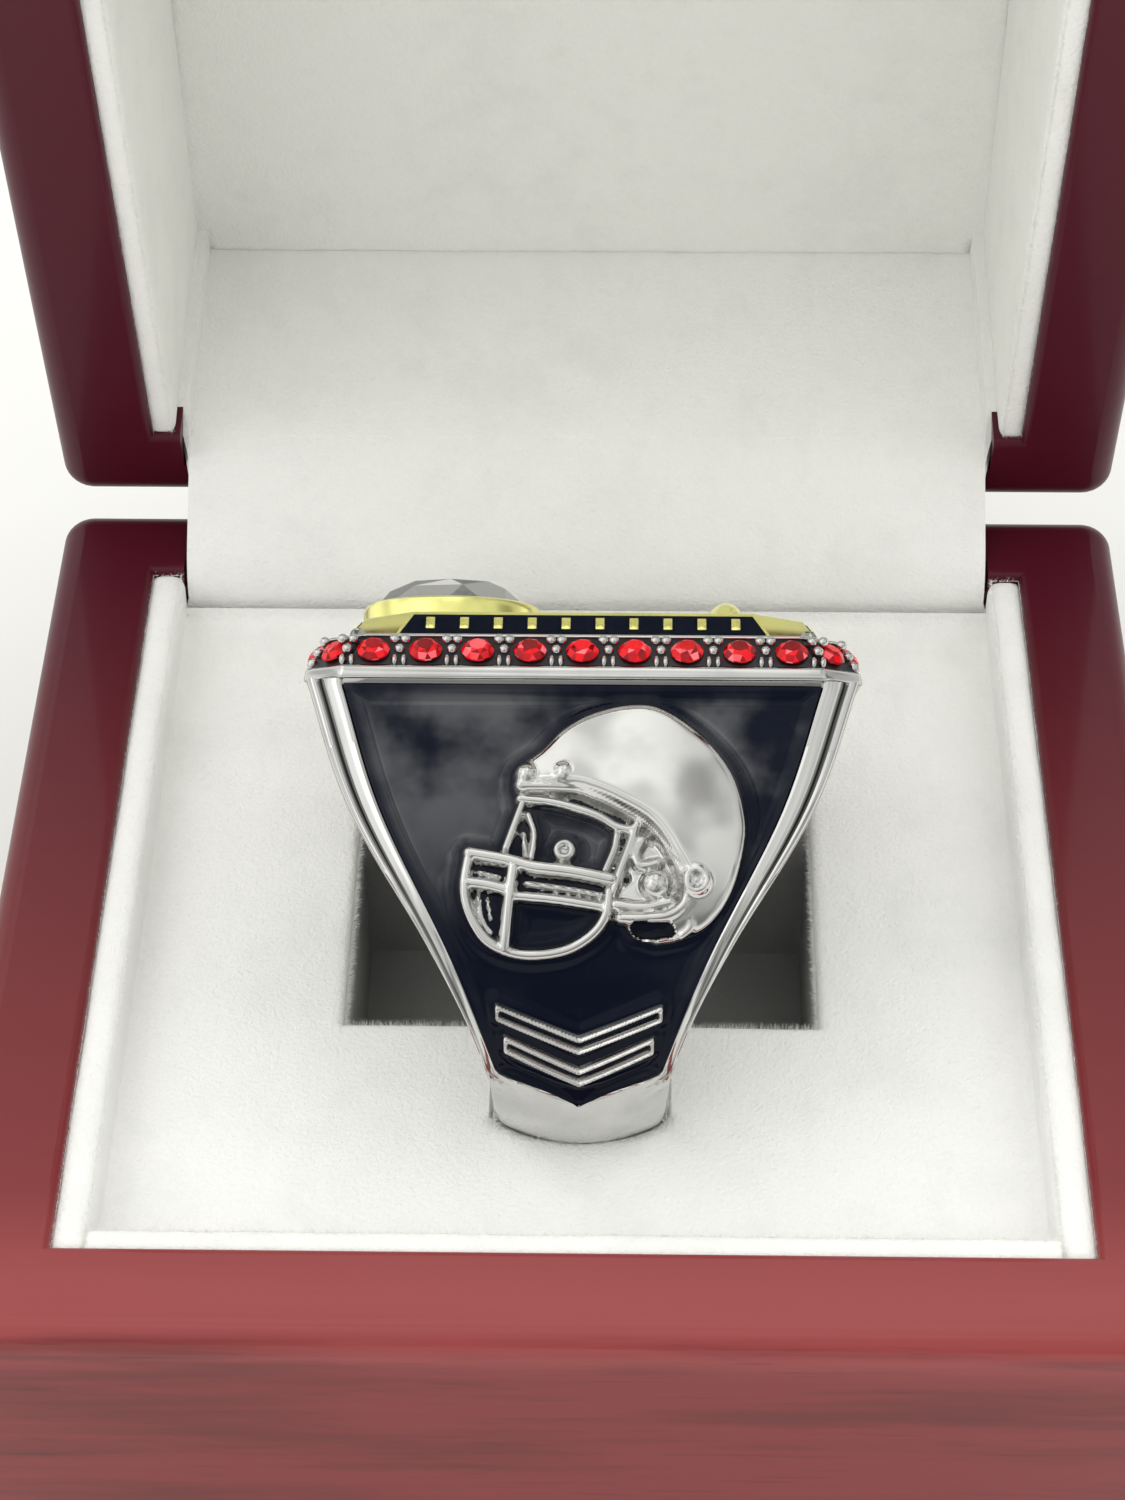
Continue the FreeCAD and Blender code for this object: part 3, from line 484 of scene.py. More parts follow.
FINISHES = {
    "lacquered_wood": lacquer,
    "velvet_pile": velvet,
    "felt_cloth": felt,
    "bare_board": board,
    "poured_enamel": enamel,
    "hinge_brass": lambda finish, colours: metal(finish, colours.brass, 0.22, 0.18, 500.0),
    "cast_silver": lambda finish, colours: metal(finish, colours.silver, 0.05, 0.05, 260.0),
    "blackened_silver": lambda finish, colours: metal(finish, colours.blackened, 0.28, 0.2, 600.0),
    "bright_gold": lambda finish, colours: metal(finish, colours.gold, 0.16, 0.08, 400.0, uneven=0.08),
    "red_glass": lambda finish, colours: stone(finish, colours.red_stone, colours.red_painted_glint,
                                               colours.red_painted_shade, 0.0),
    "clear_glass": lambda finish, colours: stone(finish, colours.clear_stone, colours.clear_painted_glint,
                                                 colours.clear_painted_shade, 0.35),
    "pale_floor": ground,
}


def finish_of(name):
    """A finish by its name, made the first time that it is asked for."""
    made = bpy.data.materials.get(name)
    return made or FINISHES[name](Finish(name), bpy.context.scene.finish_colours)


# Short ways to make meshes

def lattice(columns, rows, place):
    """A grid with one vertex for each column and row, put where the function of both says."""
    bm = bmesh.new()
    bmesh.ops.create_grid(bm, x_segments=len(columns) - 1, y_segments=len(rows) - 1, size=1.0)
    for vertex in bm.verts:
        column = round((vertex.co.x + 1.0) / 2.0 * (len(columns) - 1))
        row = round((vertex.co.y + 1.0) / 2.0 * (len(rows) - 1))
        vertex.co = place(columns[column], rows[row])
    return bm


def spread(start, end, count):
    """Evenly spaced values from one end to the other."""
    return [start + (end - start) * step / count for step in range(count + 1)]


def fine_ends(stops, step, near=(0.15, 0.4, 0.8)):
    """Lines between stops: close together at each stop, and about a step apart elsewhere."""
    lines = []
    for start, end in zip(stops, stops[1:]):
        inner = spread(start + near[-1], end - near[-1], max(1, round((end - start - 2 * near[-1]) / step)))
        lines += [start, *(start + gap for gap in near[:-1]), *inner, *(end - gap for gap in near[-2::-1])]
    return lines + [stops[-1]]


def smooth_step(value):
    share = min(max(value, 0.0), 1.0)
    return share * share * (3.0 - 2.0 * share)


def fallen(distance, radius):
    """How far a rounded edge has fallen, at this distance in from it."""
    short = max(radius - max(distance, 0.0), 0.0)
    return radius - math.sqrt(radius * radius - short * short)


def through(points, steps=8):
    """A smooth line through a few points."""
    points = [Vector(point) for point in points]
    ends = [2 * points[0] - points[1], *points, 2 * points[-1] - points[-2]]
    line = []
    for before, start, end, after in zip(ends, ends[1:], ends[2:], ends[3:]):
        for step in range(steps):
            t = step / steps
            line.append(0.5 * (2 * start + (end - before) * t
                               + (2 * before - 5 * start + 4 * end - after) * t * t
                               + (3 * start - before - 3 * end + after) * t ** 3))
    return line + [points[-1]]


def value_along(line, at):
    """The second value of a line of pairs, at this first value."""
    for (start, low), (end, high) in zip(line, line[1:]):
        if min(start, end) <= at <= max(start, end):
            return low + (high - low) * (at - start) / (end - start)
    return line[0][1] if abs(at - line[0][0]) < abs(at - line[-1][0]) else line[-1][1]


def ripple(bm, height, size, wanted=None):
    """Moves the surface in and out by slow waves."""
    bm.normal_update()
    moves = [(vertex, vertex.normal * (height * noise.noise(vertex.co / size)))
             for vertex in bm.verts if wanted is None or wanted(vertex)]
    for vertex, move in moves:
        vertex.co += move


def box_mesh(low, high):
    bm = bmesh.new()
    bmesh.ops.create_cube(bm, size=1.0)
    bm.transform(Matrix.Translation((low + high) / 2) @ Matrix.Diagonal((*(high - low), 1.0)))
    return bm


def upright(bm):
    """The edges that run along Z."""
    return [edge for edge in bm.edges if abs((edge.verts[0].co - edge.verts[1].co).normalized().z) > 0.9]


def soften(bm, edges, radius, segments):
    bmesh.ops.bevel(bm, geom=edges, offset=radius, offset_type="OFFSET", segments=segments, profile=0.5,
                    affect="EDGES", material=-1, clamp_overlap=True)


def refine(bm, longest=2.5):
    """Halves edges until none is longer than this."""
    while True:
        long_edges = [edge for edge in bm.edges if edge.calc_length() > longest]
        if not long_edges:
            return
        bmesh.ops.subdivide_edges(bm, edges=long_edges, cuts=1, use_grid_fill=True)


def cut_along(bm, y):
    """Cuts the mesh across at one depth, and keeps both sides."""
    bmesh.ops.bisect_plane(bm, geom=[*bm.verts, *bm.edges, *bm.faces], plane_co=(0, y, 0), plane_no=(0, 1, 0))


def stamp(bm, source, place):
    """Adds a copy of a mesh at a place."""
    before = len(bm.verts)
    bm.from_mesh(source)
    bm.verts.ensure_lookup_table()
    bmesh.ops.transform(bm, matrix=place, verts=bm.verts[before:])


def as_mesh(bm, name="part"):
    mesh = bpy.data.meshes.new(name)
    bm.to_mesh(mesh)
    bm.free()
    return mesh


def new_piece(name, bm, body, finish, replaced, place=None, sharp=60.0):
    """Makes a piece from a mesh in millimetres, puts it in place and lets it ride on its body."""
    bmesh.ops.recalc_face_normals(bm, faces=bm.faces)
    for face in bm.faces:
        face.smooth = True
    bm.transform((place or Matrix.Identity(4)) @ Matrix.Scale(MM, 4))
    mesh = as_mesh(bm, name)
    mesh.set_sharp_from_angle(angle=math.radians(sharp))
    mesh.materials.append(finish_of(finish))
    piece = bpy.data.objects.new(name, mesh)
    bpy.context.collection.objects.link(piece)
    if body:
        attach(piece, body)
    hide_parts(*replaced)
    return piece


def dress(finish, *nodes):
    """Gives CAD nodes their finish."""
    material = finish_of(finish)
    for node in nodes:
        shown = frame["nodes"][node]
        if not shown.material_slots:
            shown.data.materials.append(material)
        for entry in shown.material_slots:
            entry.material = material


# The velvet

class PadForm:
    """The velvet pad: its box, its slot and the height of its top."""

    def __init__(self, sizes, ring):
        self.sizes = sizes
        self.ring = ring.centre
        self.dent = ring.radius + sizes.dent_clear
        self.dome = ring.foot_dome
        self.low, self.high = box_in("pad_cover")
        self.bottom = box_in("pad_core")[0].z
        self.middle = (self.low + self.high) / 2
        self.half = (self.high - self.low) / 2
        tray_low, tray_high = box_in("slot_lining")
        wall = Vector((sizes.slot_cloth, sizes.slot_cloth, sizes.slot_cloth))
        self.slot_low = tray_low + wall + Vector((0, sizes.slot_lip, 0))
        self.slot_high = tray_high - wall
        self.dent_front = self.ring.y - math.sqrt(self.dent ** 2 - (self.ring.z - self.high.z) ** 2)

    def top(self, x, y):
        sizes = self.sizes
        across, along = abs(x - self.middle.x), abs(y - self.middle.y)
        z = (self.high.z + sizes.pad_crown * (1 - (across / self.half.x) ** 2)
             * (1 - (along / self.half.y) ** 2))
        z += fallen(min(self.half.x - across, self.half.y - along), sizes.pad_rise)
        out_x = max(self.slot_low.x - x, x - self.slot_high.x, 0.0)
        out_y = max(self.slot_low.y - y, y - self.slot_high.y, 0.0)
        z -= fallen(math.hypot(out_x, out_y), sizes.slot_round)
        domed = self.dome * min(abs(x - self.ring.x) / sizes.dent_half, 1.0) ** 2
        reach = (self.dent - domed) ** 2 - (y - self.ring.y) ** 2
        if reach > 0.0:
            pressed = min(z, self.ring.z - math.sqrt(reach))
            side = smooth_step((abs(x - self.ring.x) - sizes.dent_half) / sizes.dent_edge)
            z = pressed + (z - pressed) * side
        return Vector((x, y, z))

    def in_slot(self, point):
        return self.slot_low.x < point.x < self.slot_high.x and self.slot_low.y < point.y < self.slot_high.y

    def at_rim(self, point):
        """Whether a point of the top lies at the pad's own edge, and not at the slot's."""
        share_x = abs(point.x - self.middle.x) / self.half.x
        share_y = abs(point.y - self.middle.y) / self.half.y
        return max(share_x, share_y) >= 0.95


def draw_down(bm, edges, bottom, steps, mark):
    """Draws a rim of edges down to a level in steps, marks each new vertex, and closes the foot."""
    for step in range(steps):
        made = bmesh.ops.extrude_edge_only(bm, edges=edges)["geom"]
        for vertex in (item for item in made if isinstance(item, bmesh.types.BMVert)):
            vertex.co.z += (bottom - vertex.co.z) / (steps - step)
            mark(vertex)
        edges = [item for item in made if isinstance(item, bmesh.types.BMEdge) and item.is_boundary]
    bmesh.ops.edgeloop_fill(bm, edges=edges)


# Where the hairs of the pile show: how many to a millimetre, and how long they are at most
HAIRS = {"slot": (45.0, 0.7), "band": (30.0, 0.9), "band_front": (40.0, 0.8), "liner": (34.0, 0.42)}
HAIR_STRETCH = 5.0
HAIR_RADII = (0.014, 0.003)
HAIR_ROOT = 0.15


def hairs(name, lines, body, place=None):
    """Loose hairs of the pile along lines, each given by its start, its end, the way out and its kind."""
    chance = random.Random(name)
    spike = bmesh.new()
    bmesh.ops.create_cone(spike, segments=3, radius1=HAIR_RADII[0], radius2=HAIR_RADII[1], depth=1.0,
                          matrix=Matrix.Translation((0, 0, 0.5 - HAIR_ROOT)))
    source = as_mesh(spike)
    bm = bmesh.new()
    for start, end, out, kind in lines:
        share, tall = HAIRS[kind]
        steps = math.ceil((end - start).length / HAIR_STRETCH)
        for step in range(steps):
            tuft = bmesh.new()
            for count in range(round((end - start).length * share / steps)):
                point = start.lerp(end, (step + chance.random()) / steps)
                lean = Vector([chance.gauss(0.0, 0.5) for axis in range(3)])
                turn = (out.normalized() + lean).to_track_quat("Z", "Y").to_matrix().to_4x4()
                size = Matrix.Diagonal((1.0, 1.0, tall * chance.uniform(0.4, 1.0), 1.0))
                stamp(tuft, source, Matrix.Translation(point) @ turn @ size)
            stamp(bm, as_mesh(tuft), Matrix.Identity(4))
    new_piece(name, bm, body, "velvet_pile", [], place)


def box_edges(low, high, z):
    """The four edges of a rectangle at one height, with the way out of each."""
    corners = [Vector((low.x, low.y, z)), Vector((high.x, low.y, z)), Vector((high.x, high.y, z)),
               Vector((low.x, high.y, z))]
    for start, end in zip(corners, corners[1:] + corners[:1]):
        yield start, end, (end - start).cross(UP).normalized()


def velvet_board(name, node, body, place, sizes):
    """A card covered with velvet: rounded along its edges, a little uneven and pressed in on all sides."""
    low, high = box_in(node, place)
    press = Vector((sizes.board_press, sizes.board_press, 0.0))
    bm = box_mesh(low - press, high + press)
    soften(bm, bm.edges[:], min(sizes.board_round, 0.45 * min(high - low)), 3)
    refine(bm)
    ripple(bm, sizes.wave, 5.0)
    new_piece(name, bm, body, "velvet_pile", [node], place)


class FlapPath:
    """The hinge flap's line, seen from the side: up behind the pad, over the hinge and on in the lid."""

    SOLID_MIDDLE = 0.35
    SHORT_OF_TIP = Vector((0, 0.25, 0.3))

    def __init__(self, sizes):
        self.low, self.high = box_in("hinge_flap")
        solid = [vertex.co / MM for vertex in frame["nodes"]["hinge_flap"].data.vertices]
        tip = max(solid, key=lambda corner: corner.z + corner.y * 0.5)
        rim = box_in("base_liner_left")[1].z
        foot = Vector((0, self.low.y + self.SOLID_MIDDLE, self.low.z + 0.05))
        self.bend = Vector((0, foot.y, rim))
        self.end = Vector((0, tip.y, tip.z)) - self.SHORT_OF_TIP
        below = self.bend - UP * sizes.flap_bend
        above = self.bend + (self.end - self.bend).normalized() * sizes.flap_bend
        shares = spread(0.0, 1.0, 5)
        self.foot_rows = len(shares)
        turn = [below.lerp(self.bend, share).lerp(self.bend.lerp(above, share), share)
                for share in spread(0.0, 1.0, 8)]
        self.base_line = [foot.lerp(below, share) for share in shares] + turn[1:]
        self.base_line += [above.lerp(self.end, share) for share in shares[1:]]
        self.lid_line = self.lining_line(sizes)

    def lining_line(self, sizes):
        """The stretch that lies on the lid's rear lining, up to the fold."""
        lining = box_in("lid_liner_rear", LID_OPEN)[0]
        fold = box_in("lid_pad", LID_OPEN)[0].z + sizes.flap_tuck
        self.lining_y = lining.y - 0.6 * sizes.flap_thick
        to_open = Matrix.Scale(1 / MM, 4) @ LID_OPEN @ Matrix.Scale(MM, 4)
        levels = spread(lining.z + sizes.flap_start, fold, 12)
        return [to_open @ Vector((0, self.lining_y, z)) for z in levels]

    def mesh(self, sizes):
        """The flap keeps its width. In the lid its sides wrap forward, round the cut in the rear wall."""
        line = self.base_line + self.lid_line
        liner = box_in("lid_liner_left", LID_OPEN)[1]
        forward = LID_OPEN.to_3x3() @ Vector((0, liner.y - 0.3 - self.lining_y, 0))
        low, high = self.low.x, self.high.x
        columns = [liner.x, low - 0.02, *spread(low, high, 40), high + 0.02, -liner.x]

        def place(x, row):
            if row >= len(self.base_line) and abs(x) > high:
                return line[row] + forward + Vector((x, 0, 0))
            wider = sizes.flap_foot * max(0.0, 1 - row / self.foot_rows) ** 0.5
            return line[row] + Vector((min(max(x, low), high) * (1 + wider / high), 0, 0))

        bm = lattice(columns, range(len(line)), place)
        bmesh.ops.remove_doubles(bm, verts=bm.verts, dist=0.005)
        ripple(bm, sizes.wave, 5.0)
        bmesh.ops.recalc_face_normals(bm, faces=bm.faces)
        bmesh.ops.solidify(bm, geom=bm.faces[:], thickness=sizes.flap_thick)
        return bm

    def flat(self):
        """Width and length of the flap when it lies flat, in metres."""
        line = self.base_line + self.lid_line
        path = sum((after - before).length for before, after in zip(line, line[1:]))
        return (self.high.x - self.low.x) * MM, path * MM


# The ring's form, in its own axes: X along the finger, front towards -Y, Z to the head

class RingForm:
    """The side view and the widths of the ring. The way runs up the front from the underside to the head."""

    def __init__(self, sizes):
        self.radius = sizes.radius
        self.bore = sizes.bore
        self.dome = sizes.foot_dome
        corner = math.hypot(sizes.head_top, sizes.head_half_depth)
        self.slope = math.atan2(sizes.head_top, sizes.head_half_depth) - math.acos(sizes.radius / corner)
        self.arc = sizes.radius * (math.pi / 2 + self.slope)
        self.touch = Vector((0, -math.cos(self.slope), math.sin(self.slope))) * sizes.radius
        self.edge = Vector((0, -sizes.head_half_depth, sizes.head_top))
        self.length = self.arc + (self.edge - self.touch).length
        self.outline = through([(sizes.head_top, sizes.head_half_width), (6.0, 12.8), (-1.8, 8.25),
                                (-8.0, 5.3), (-12.6, 4.8)])
        self.panel_top, self.panel_foot, self.panel_tip = 12.8, -8.5, -10.3
        self.panel = through([(self.panel_top, 13.2), (5.75, 10.9), (-2.45, 6.9), (self.panel_foot, 4.5)])

    def surface(self, way):
        """The point of the outer surface at this way, and the direction out of it."""
        if way <= self.arc:
            turn = way / self.radius
            out = Vector((0, -math.sin(turn), -math.cos(turn)))
            return out * self.radius, out
        share = (way - self.arc) / (self.length - self.arc)
        return self.touch.lerp(self.edge, share), self.touch.normalized()

    def way(self, z):
        if z <= self.touch.z:
            return self.radius * (math.pi / 2 + math.asin(max(z / self.radius, -1.0)))
        return self.arc + (z - self.touch.z) / (self.edge.z - self.touch.z) * (self.length - self.arc)

    def half_width(self, z):
        return value_along(self.outline, z)

    def domed(self, x, z):
        """How far the outside falls at this distance from the middle: only under the panel."""
        share = smooth_step((self.panel_foot - 0.3 - z) / 2.0)
        return share * self.dome * (x / self.half_width(z)) ** 2

    def panel_half(self, z):
        if z >= self.panel_foot:
            return value_along(self.panel, min(z, self.panel_top))
        share = (z - self.panel_tip) / (self.panel_foot - self.panel_tip)
        return max(share, 0.0) * self.panel[-1][1]

    def over(self, x, way, height):
        """A point at a height over the shoulder."""
        point, out = self.surface(way)
        return Vector((x, 0, 0)) + point + out * height


# Border of the enamel panel, from its inner edge to the ring's edge: share of its width, height
BORDER = ((0.02, -0.10), (0.07, 0.05), (0.15, 0.10), (0.24, 0.05), (0.32, 0.0), (0.52, -0.02), (0.56, -0.12),
          (0.62, -0.24), (0.69, -0.16), (0.74, 0.02), (0.82, 0.06), (0.91, 0.0), (0.97, -0.12), (1.0, -0.3))
# Tarnish in the border's groove, by its place in the border
TARNISH = {6: 0.2, 7: 1.0, 8: 0.4}
PANEL_COLUMNS = 10
SIDE_SHARES = (0.12, 0.4, 0.7, 0.93)
BORE_EDGE = 0.3
BORE_SHARES = (1.0, 0.6, 0.3, 0.0)
HALF_COLUMNS = PANEL_COLUMNS + 1 + len(BORDER) + len(SIDE_SHARES) + len(BORE_SHARES)


def band_stations(form):
    """Where the band is cut, round the ring: a point outside, the way out, and how far the panel is open."""
    front = []
    for way in spread(0.0, form.length, 120):
        point, out = form.surface(way)
        front.append((point, out, smooth_step((form.panel_top + 0.1 - point.z) / 0.2)))
    rear_edge = Vector((0, -form.edge.y, form.edge.z))
    top = [(form.edge.lerp(rear_edge, share), UP, 0.0) for share in spread(0.0, 1.0, 8)[1:-1]]
    turned = Vector((1, -1, 1))
    rear = [(point * turned, out * turned, opened) for point, out, opened in reversed(front)]
    return front + top + rear


def band_section(form, sizes, point, out, opened):
    """Half of the section at one station, as points from the middle of the outside to that of the bore."""
    wide = form.half_width(point.z)
    panel = form.panel_half(point.z)
    border = wide - panel
    scale = min(1.0, border / 1.8) * smooth_step((point.z + 10.5) / 2.0)
    line = [(panel * step / PANEL_COLUMNS, -sizes.recess * opened * (panel > 0.05))
            for step in range(PANEL_COLUMNS + 1)]
    line += [(panel + border * share, height * (scale if share < 0.95 else 1.0)) for share, height in BORDER]
    places = [Vector((x, 0, 0)) + point + out * (height - form.domed(x, point.z)) for x, height in line]
    edge = places[-1] - Vector((wide, 0, 0))
    inner = point.normalized() * form.bore
    inner_wide = form.half_width(inner.z)
    for share in SIDE_SHARES:
        places.append(Vector((wide + (inner_wide - wide) * share, 0, 0)) + edge.lerp(inner, share))
    places += [Vector(((inner_wide - BORE_EDGE) * share, 0, 0)) + inner for share in BORE_SHARES]
    return places


def band_mesh(form, sizes):
    """The cast band and shoulders in one closed skin: rows round the ring, columns round its section."""
    sections = [band_section(form, sizes, *station) for station in band_stations(form)]
    around = 2 * HALF_COLUMNS - 1
    mirror = Vector((-1, 1, 1))

    def place(column, row):
        if column < HALF_COLUMNS:
            return sections[row][column]
        return sections[row][around - 1 - column] * mirror

    bm = lattice(range(around), range(len(sections)), place)
    groove = bm.verts.layers.float.new("groove")
    for number, vertex in enumerate(bm.verts):
        column = min(number % around, around - 1 - number % around)
        tarnish = TARNISH.get(column - PANEL_COLUMNS - 1, 0.0)
        vertex[groove] = tarnish * smooth_step((vertex.co.z + 7.0) / 12.0)
    bmesh.ops.remove_doubles(bm, verts=bm.verts, dist=0.002)
    return bm


def distance_to(place, start, end):
    nearest, share = intersect_point_line(place, start, end)
    if share <= 0.0:
        nearest = start
    elif share >= 1.0:
        nearest = end
    return (place - nearest).length


def within(place, outline):
    """Whether a place is inside a closed outline."""
    inside = False
    for start, end in zip(outline, outline[1:] + outline[:1]):
        if (start.y > place.y) != (end.y > place.y):
            if place.x < start.x + (end.x - start.x) * (place.y - start.y) / (end.y - start.y):
                inside = not inside
    return inside


class Relief:
    """A cast relief as a height over the shoulder: the highest of its bars, bosses and plates."""

    FLOOR = -0.9
    BURIED = -0.75
    SKIN = 0.15
    STEEP = 4.0
    MARGIN = 0.6

    def __init__(self, form):
        self.form = form
        self.shapes = []
        self.hollows = []

    def flat(self, points):
        """Points given by height up the ring, as points along the way over the shoulder."""
        return [Vector((x, self.form.way(z), 0)) for x, z in points]

    def bar(self, points, radius, level, steps=6):
        """A round bar along a line."""
        line = through(self.flat(points), steps) if len(points) > 2 else self.flat(points)
        self.tube(line, radius, level, radius,
                  lambda place: min(distance_to(place, start, end) for start, end in zip(line, line[1:])))

    def collar(self, centre, radius, thick, level):
        """A round bar bent into a ring."""
        middle = self.flat([centre])[0]
        self.tube([middle], thick, level, radius + thick, lambda place: abs((place - middle).length - radius))

    def tube(self, line, radius, level, reach, gap_at):
        """A half-round ridge where a distance is small."""
        def height(place):
            gap = gap_at(place)
            if gap < radius:
                return level + math.sqrt(radius * radius - gap * gap)
            return level - (gap - radius) * self.STEEP

        self.add(height, line, reach)

    def boss(self, centre, radius, level, top):
        middle = self.flat([centre])[0]

        def height(place):
            gap = (place - middle).length
            if gap < radius:
                return level + (top - level) * math.sqrt(1.0 - (gap / radius) ** 2)
            return level - (gap - radius) * self.STEEP

        self.add(height, [middle], radius)

    def plate(self, outline, level, edge, swell=lambda place: 0.0):
        """A plate inside an outline, with a rounded edge, and swollen by a function of the place."""
        line = self.flat(outline)
        closed = line + line[:1]

        def height(place):
            gap = min(distance_to(place, start, end) for start, end in zip(closed, closed[1:]))
            if within(place, line):
                return level + swell(place) - fallen(gap, edge)
            return level + swell(place) - edge - gap * self.STEEP

        self.add(height, line, 0.0)

    def hollow(self, outline):
        self.hollows.append(self.flat(outline))

    def add(self, height, line, reach):
        margin = reach + self.MARGIN
        low = Vector((min(p.x for p in line) - margin, min(p.y for p in line) - margin))
        high = Vector((max(p.x for p in line) + margin, max(p.y for p in line) + margin))
        self.shapes.append((low, high, height))

    def height(self, place):
        found = self.FLOOR
        for low, high, height in self.shapes:
            if low.x < place.x < high.x and low.y < place.y < high.y:
                found = max(found, height(place))
        if found > self.FLOOR and any(within(place, outline) for outline in self.hollows):
            return self.FLOOR
        return found

    def mesh(self, step):
        """The relief as a closed shell that follows the shoulder."""
        low = [min(box[0][axis] for box in self.shapes) for axis in range(2)]
        high = [max(box[1][axis] for box in self.shapes) for axis in range(2)]
        columns, rows = (spread(start, end, round((end - start) / step)) for start, end in zip(low, high))

        def place(x, way):
            return Vector((x, way, self.height(Vector((x, way, 0)))))

        bm = lattice(columns, rows, place)
        buried = [face for face in bm.faces if all(vertex.co.z < self.BURIED for vertex in face.verts)]
        bmesh.ops.delete(bm, geom=buried, context="FACES")
        bmesh.ops.smooth_vert(bm, verts=bm.verts, factor=0.5, use_axis_z=True)
        bmesh.ops.recalc_face_normals(bm, faces=bm.faces)
        bmesh.ops.solidify(bm, geom=bm.faces[:], thickness=self.SKIN)
        for vertex in bm.verts:
            vertex.co = self.form.over(vertex.co.x, vertex.co.y, vertex.co.z)
        return bm


# Outlines and lines of the reliefs: X across the shoulder, and height up the ring

CROWN = ((-3.3, 8.3), (-2.25, 9.0), (-1.05, 10.25), (0.62, 11.2), (2.85, 11.7), (4.6, 11.4), (6.8, 9.8),
         (8.35, 7.8), (9.0, 5.6), (9.0, 3.8), (8.3, 1.25), (7.1, -0.6), (5.5, -1.45), (4.1, -1.7))
BROW = ((-3.3, 6.9), (-0.56, 6.85), (0.8, 6.45), (1.9, 5.95), (3.5, 5.05), (4.45, 4.05), (5.15, 2.9),
        (5.6, 2.1), (5.75, 0.8), (4.9, 0.0), (3.3, -0.2), (2.2, -0.2))
CHIN = (2.9, -1.3)
JAW_PAD = ((3.3, 4.4), (4.3, 3.6), (4.95, 2.5), (5.3, 1.5), (5.1, 0.4), (1.9, 0.1), (1.9, 1.1), (2.7, 1.9),
           (2.45, 2.7))
JAW_HOLLOW = ((2.7, -0.55), (4.9, -0.45), (5.1, -1.05), (3.6, -1.3), (3.0, -1.05))
SHELL_MIDDLE = (2.9, 5.4)
SHELL_SWELL = 1.35
SHELL_REACH = math.sqrt(62.0)
EAR = (6.3, 1.75)

# Bars: the points that they run through, their radius and the level of their axis
HELMET_BARS = (
    (BROW, 0.30, 0.55),
    (((-3.3, 6.25), (-1.4, 6.05), (0.8, 5.4), (1.95, 4.75), (2.75, 4.55)), 0.26, 0.30),
    (((3.0, 4.75), (2.7, 3.7), (2.15, 2.2), (1.75, 1.1)), 0.27, 0.32),
    (((2.0, 4.6), (1.85, 3.6), (1.35, 2.35)), 0.2, 0.12),
    (((3.35, 4.0), (3.0, 3.2), (3.3, 2.6), (4.2, 2.75)), 0.3, 0.22),
    (((1.95, 0.5), (3.4, 0.35), (4.9, 0.65)), 0.36, 0.25),
    (((5.9, 0.2), (6.0, -0.6), (5.5, -1.1)), 0.22, 0.4),
)
GUARD_BARS = (
    (((-6.0, 3.2), (-6.25, 1.3), (-5.85, -0.2), (-4.9, -1.5), (-3.1, -2.15), (-0.9, -1.95), (0.6, -1.15),
      (1.4, -0.1), (1.6, 1.2)), 0.30, 0.32),
    (((-6.0, 3.2), (-3.9, 2.85), (-2.6, 2.5), (-0.4, 2.25), (1.75, 1.85)), 0.36, 0.36),
    (((-6.1, 1.65), (-4.9, 1.5), (-3.7, 1.2)), 0.33, 0.3),
    (((-3.6, 0.95), (-1.2, 0.75), (1.5, 0.35)), 0.27, 0.26),
    (((-2.9, 1.65), (-0.8, 1.4), (1.2, 1.05)), 0.14, 0.12),
    (((-3.6, 2.6), (-3.8, 1.0), (-4.05, -1.9)), 0.34, 0.34),
    (((-3.15, 6.1), (-4.05, 3.5)), 0.2, 0.3),
    (((-2.85, 5.4), (-2.5, 4.3), (-2.65, 3.0)), 0.17, 0.2),
    (((-3.1, 4.4), (-3.0, 3.1)), 0.12, 0.1),
    (((-5.5, 0.9), (-5.3, -0.3), (-4.8, -1.0)), 0.14, -0.05),
    (((-5.0, 0.8), (-4.8, -0.3)), 0.12, -0.1),
    (((-5.5, 2.3), (-4.4, 2.05)), 0.12, -0.1),
)

# Bosses: their middle, their radius, the level of their foot and of their top
HELMET_BOSSES = (((-2.95, 7.55), 0.72, 0.25, 1.05), ((-3.15, 7.0), 0.55, 0.25, 0.85),
                 ((-0.9, 7.6), 0.78, 0.45, 1.25), ((4.1, 1.6), 0.85, 0.2, 0.95), (EAR, 0.25, 0.7, 1.0))
STUD = (-0.85, 3.45)
STUD_BOSS = ((-0.85, 3.4), 0.2, 0.0, 0.35)

# Chevrons: half width and upper level of each, how far it falls to its tip, and the drop of its two lines
CHEVRONS = ((4.45, -4.95), (4.0, -6.65))
CHEVRON_FALL = 1.75
CHEVRON_LINES = (0.05, 0.68)
CHEVRON_BAR = 0.12


def helmet_relief(form):
    """The helmet's shell with its brow, jaw pads and ear boss."""
    relief = Relief(form)
    middle = Vector((SHELL_MIDDLE[0], form.way(SHELL_MIDDLE[1]), 0))

    def dome(place):
        return SHELL_SWELL * max(0.0, 1.0 - (place - middle).length_squared / SHELL_REACH ** 2)

    crown = [tuple(point) for point in through(CROWN, 4)]
    brow = [tuple(point) for point in through(BROW, 4)]
    relief.plate([*crown, CHIN, *reversed(brow)], 0.15, 0.5, dome)
    relief.plate(JAW_PAD, 0.05, 0.25)
    for bar in HELMET_BARS:
        relief.bar(*bar)
    for boss in HELMET_BOSSES:
        relief.boss(*boss)
    relief.collar(EAR, 0.55, 0.22, 0.95)
    relief.hollow(JAW_HOLLOW)
    return relief


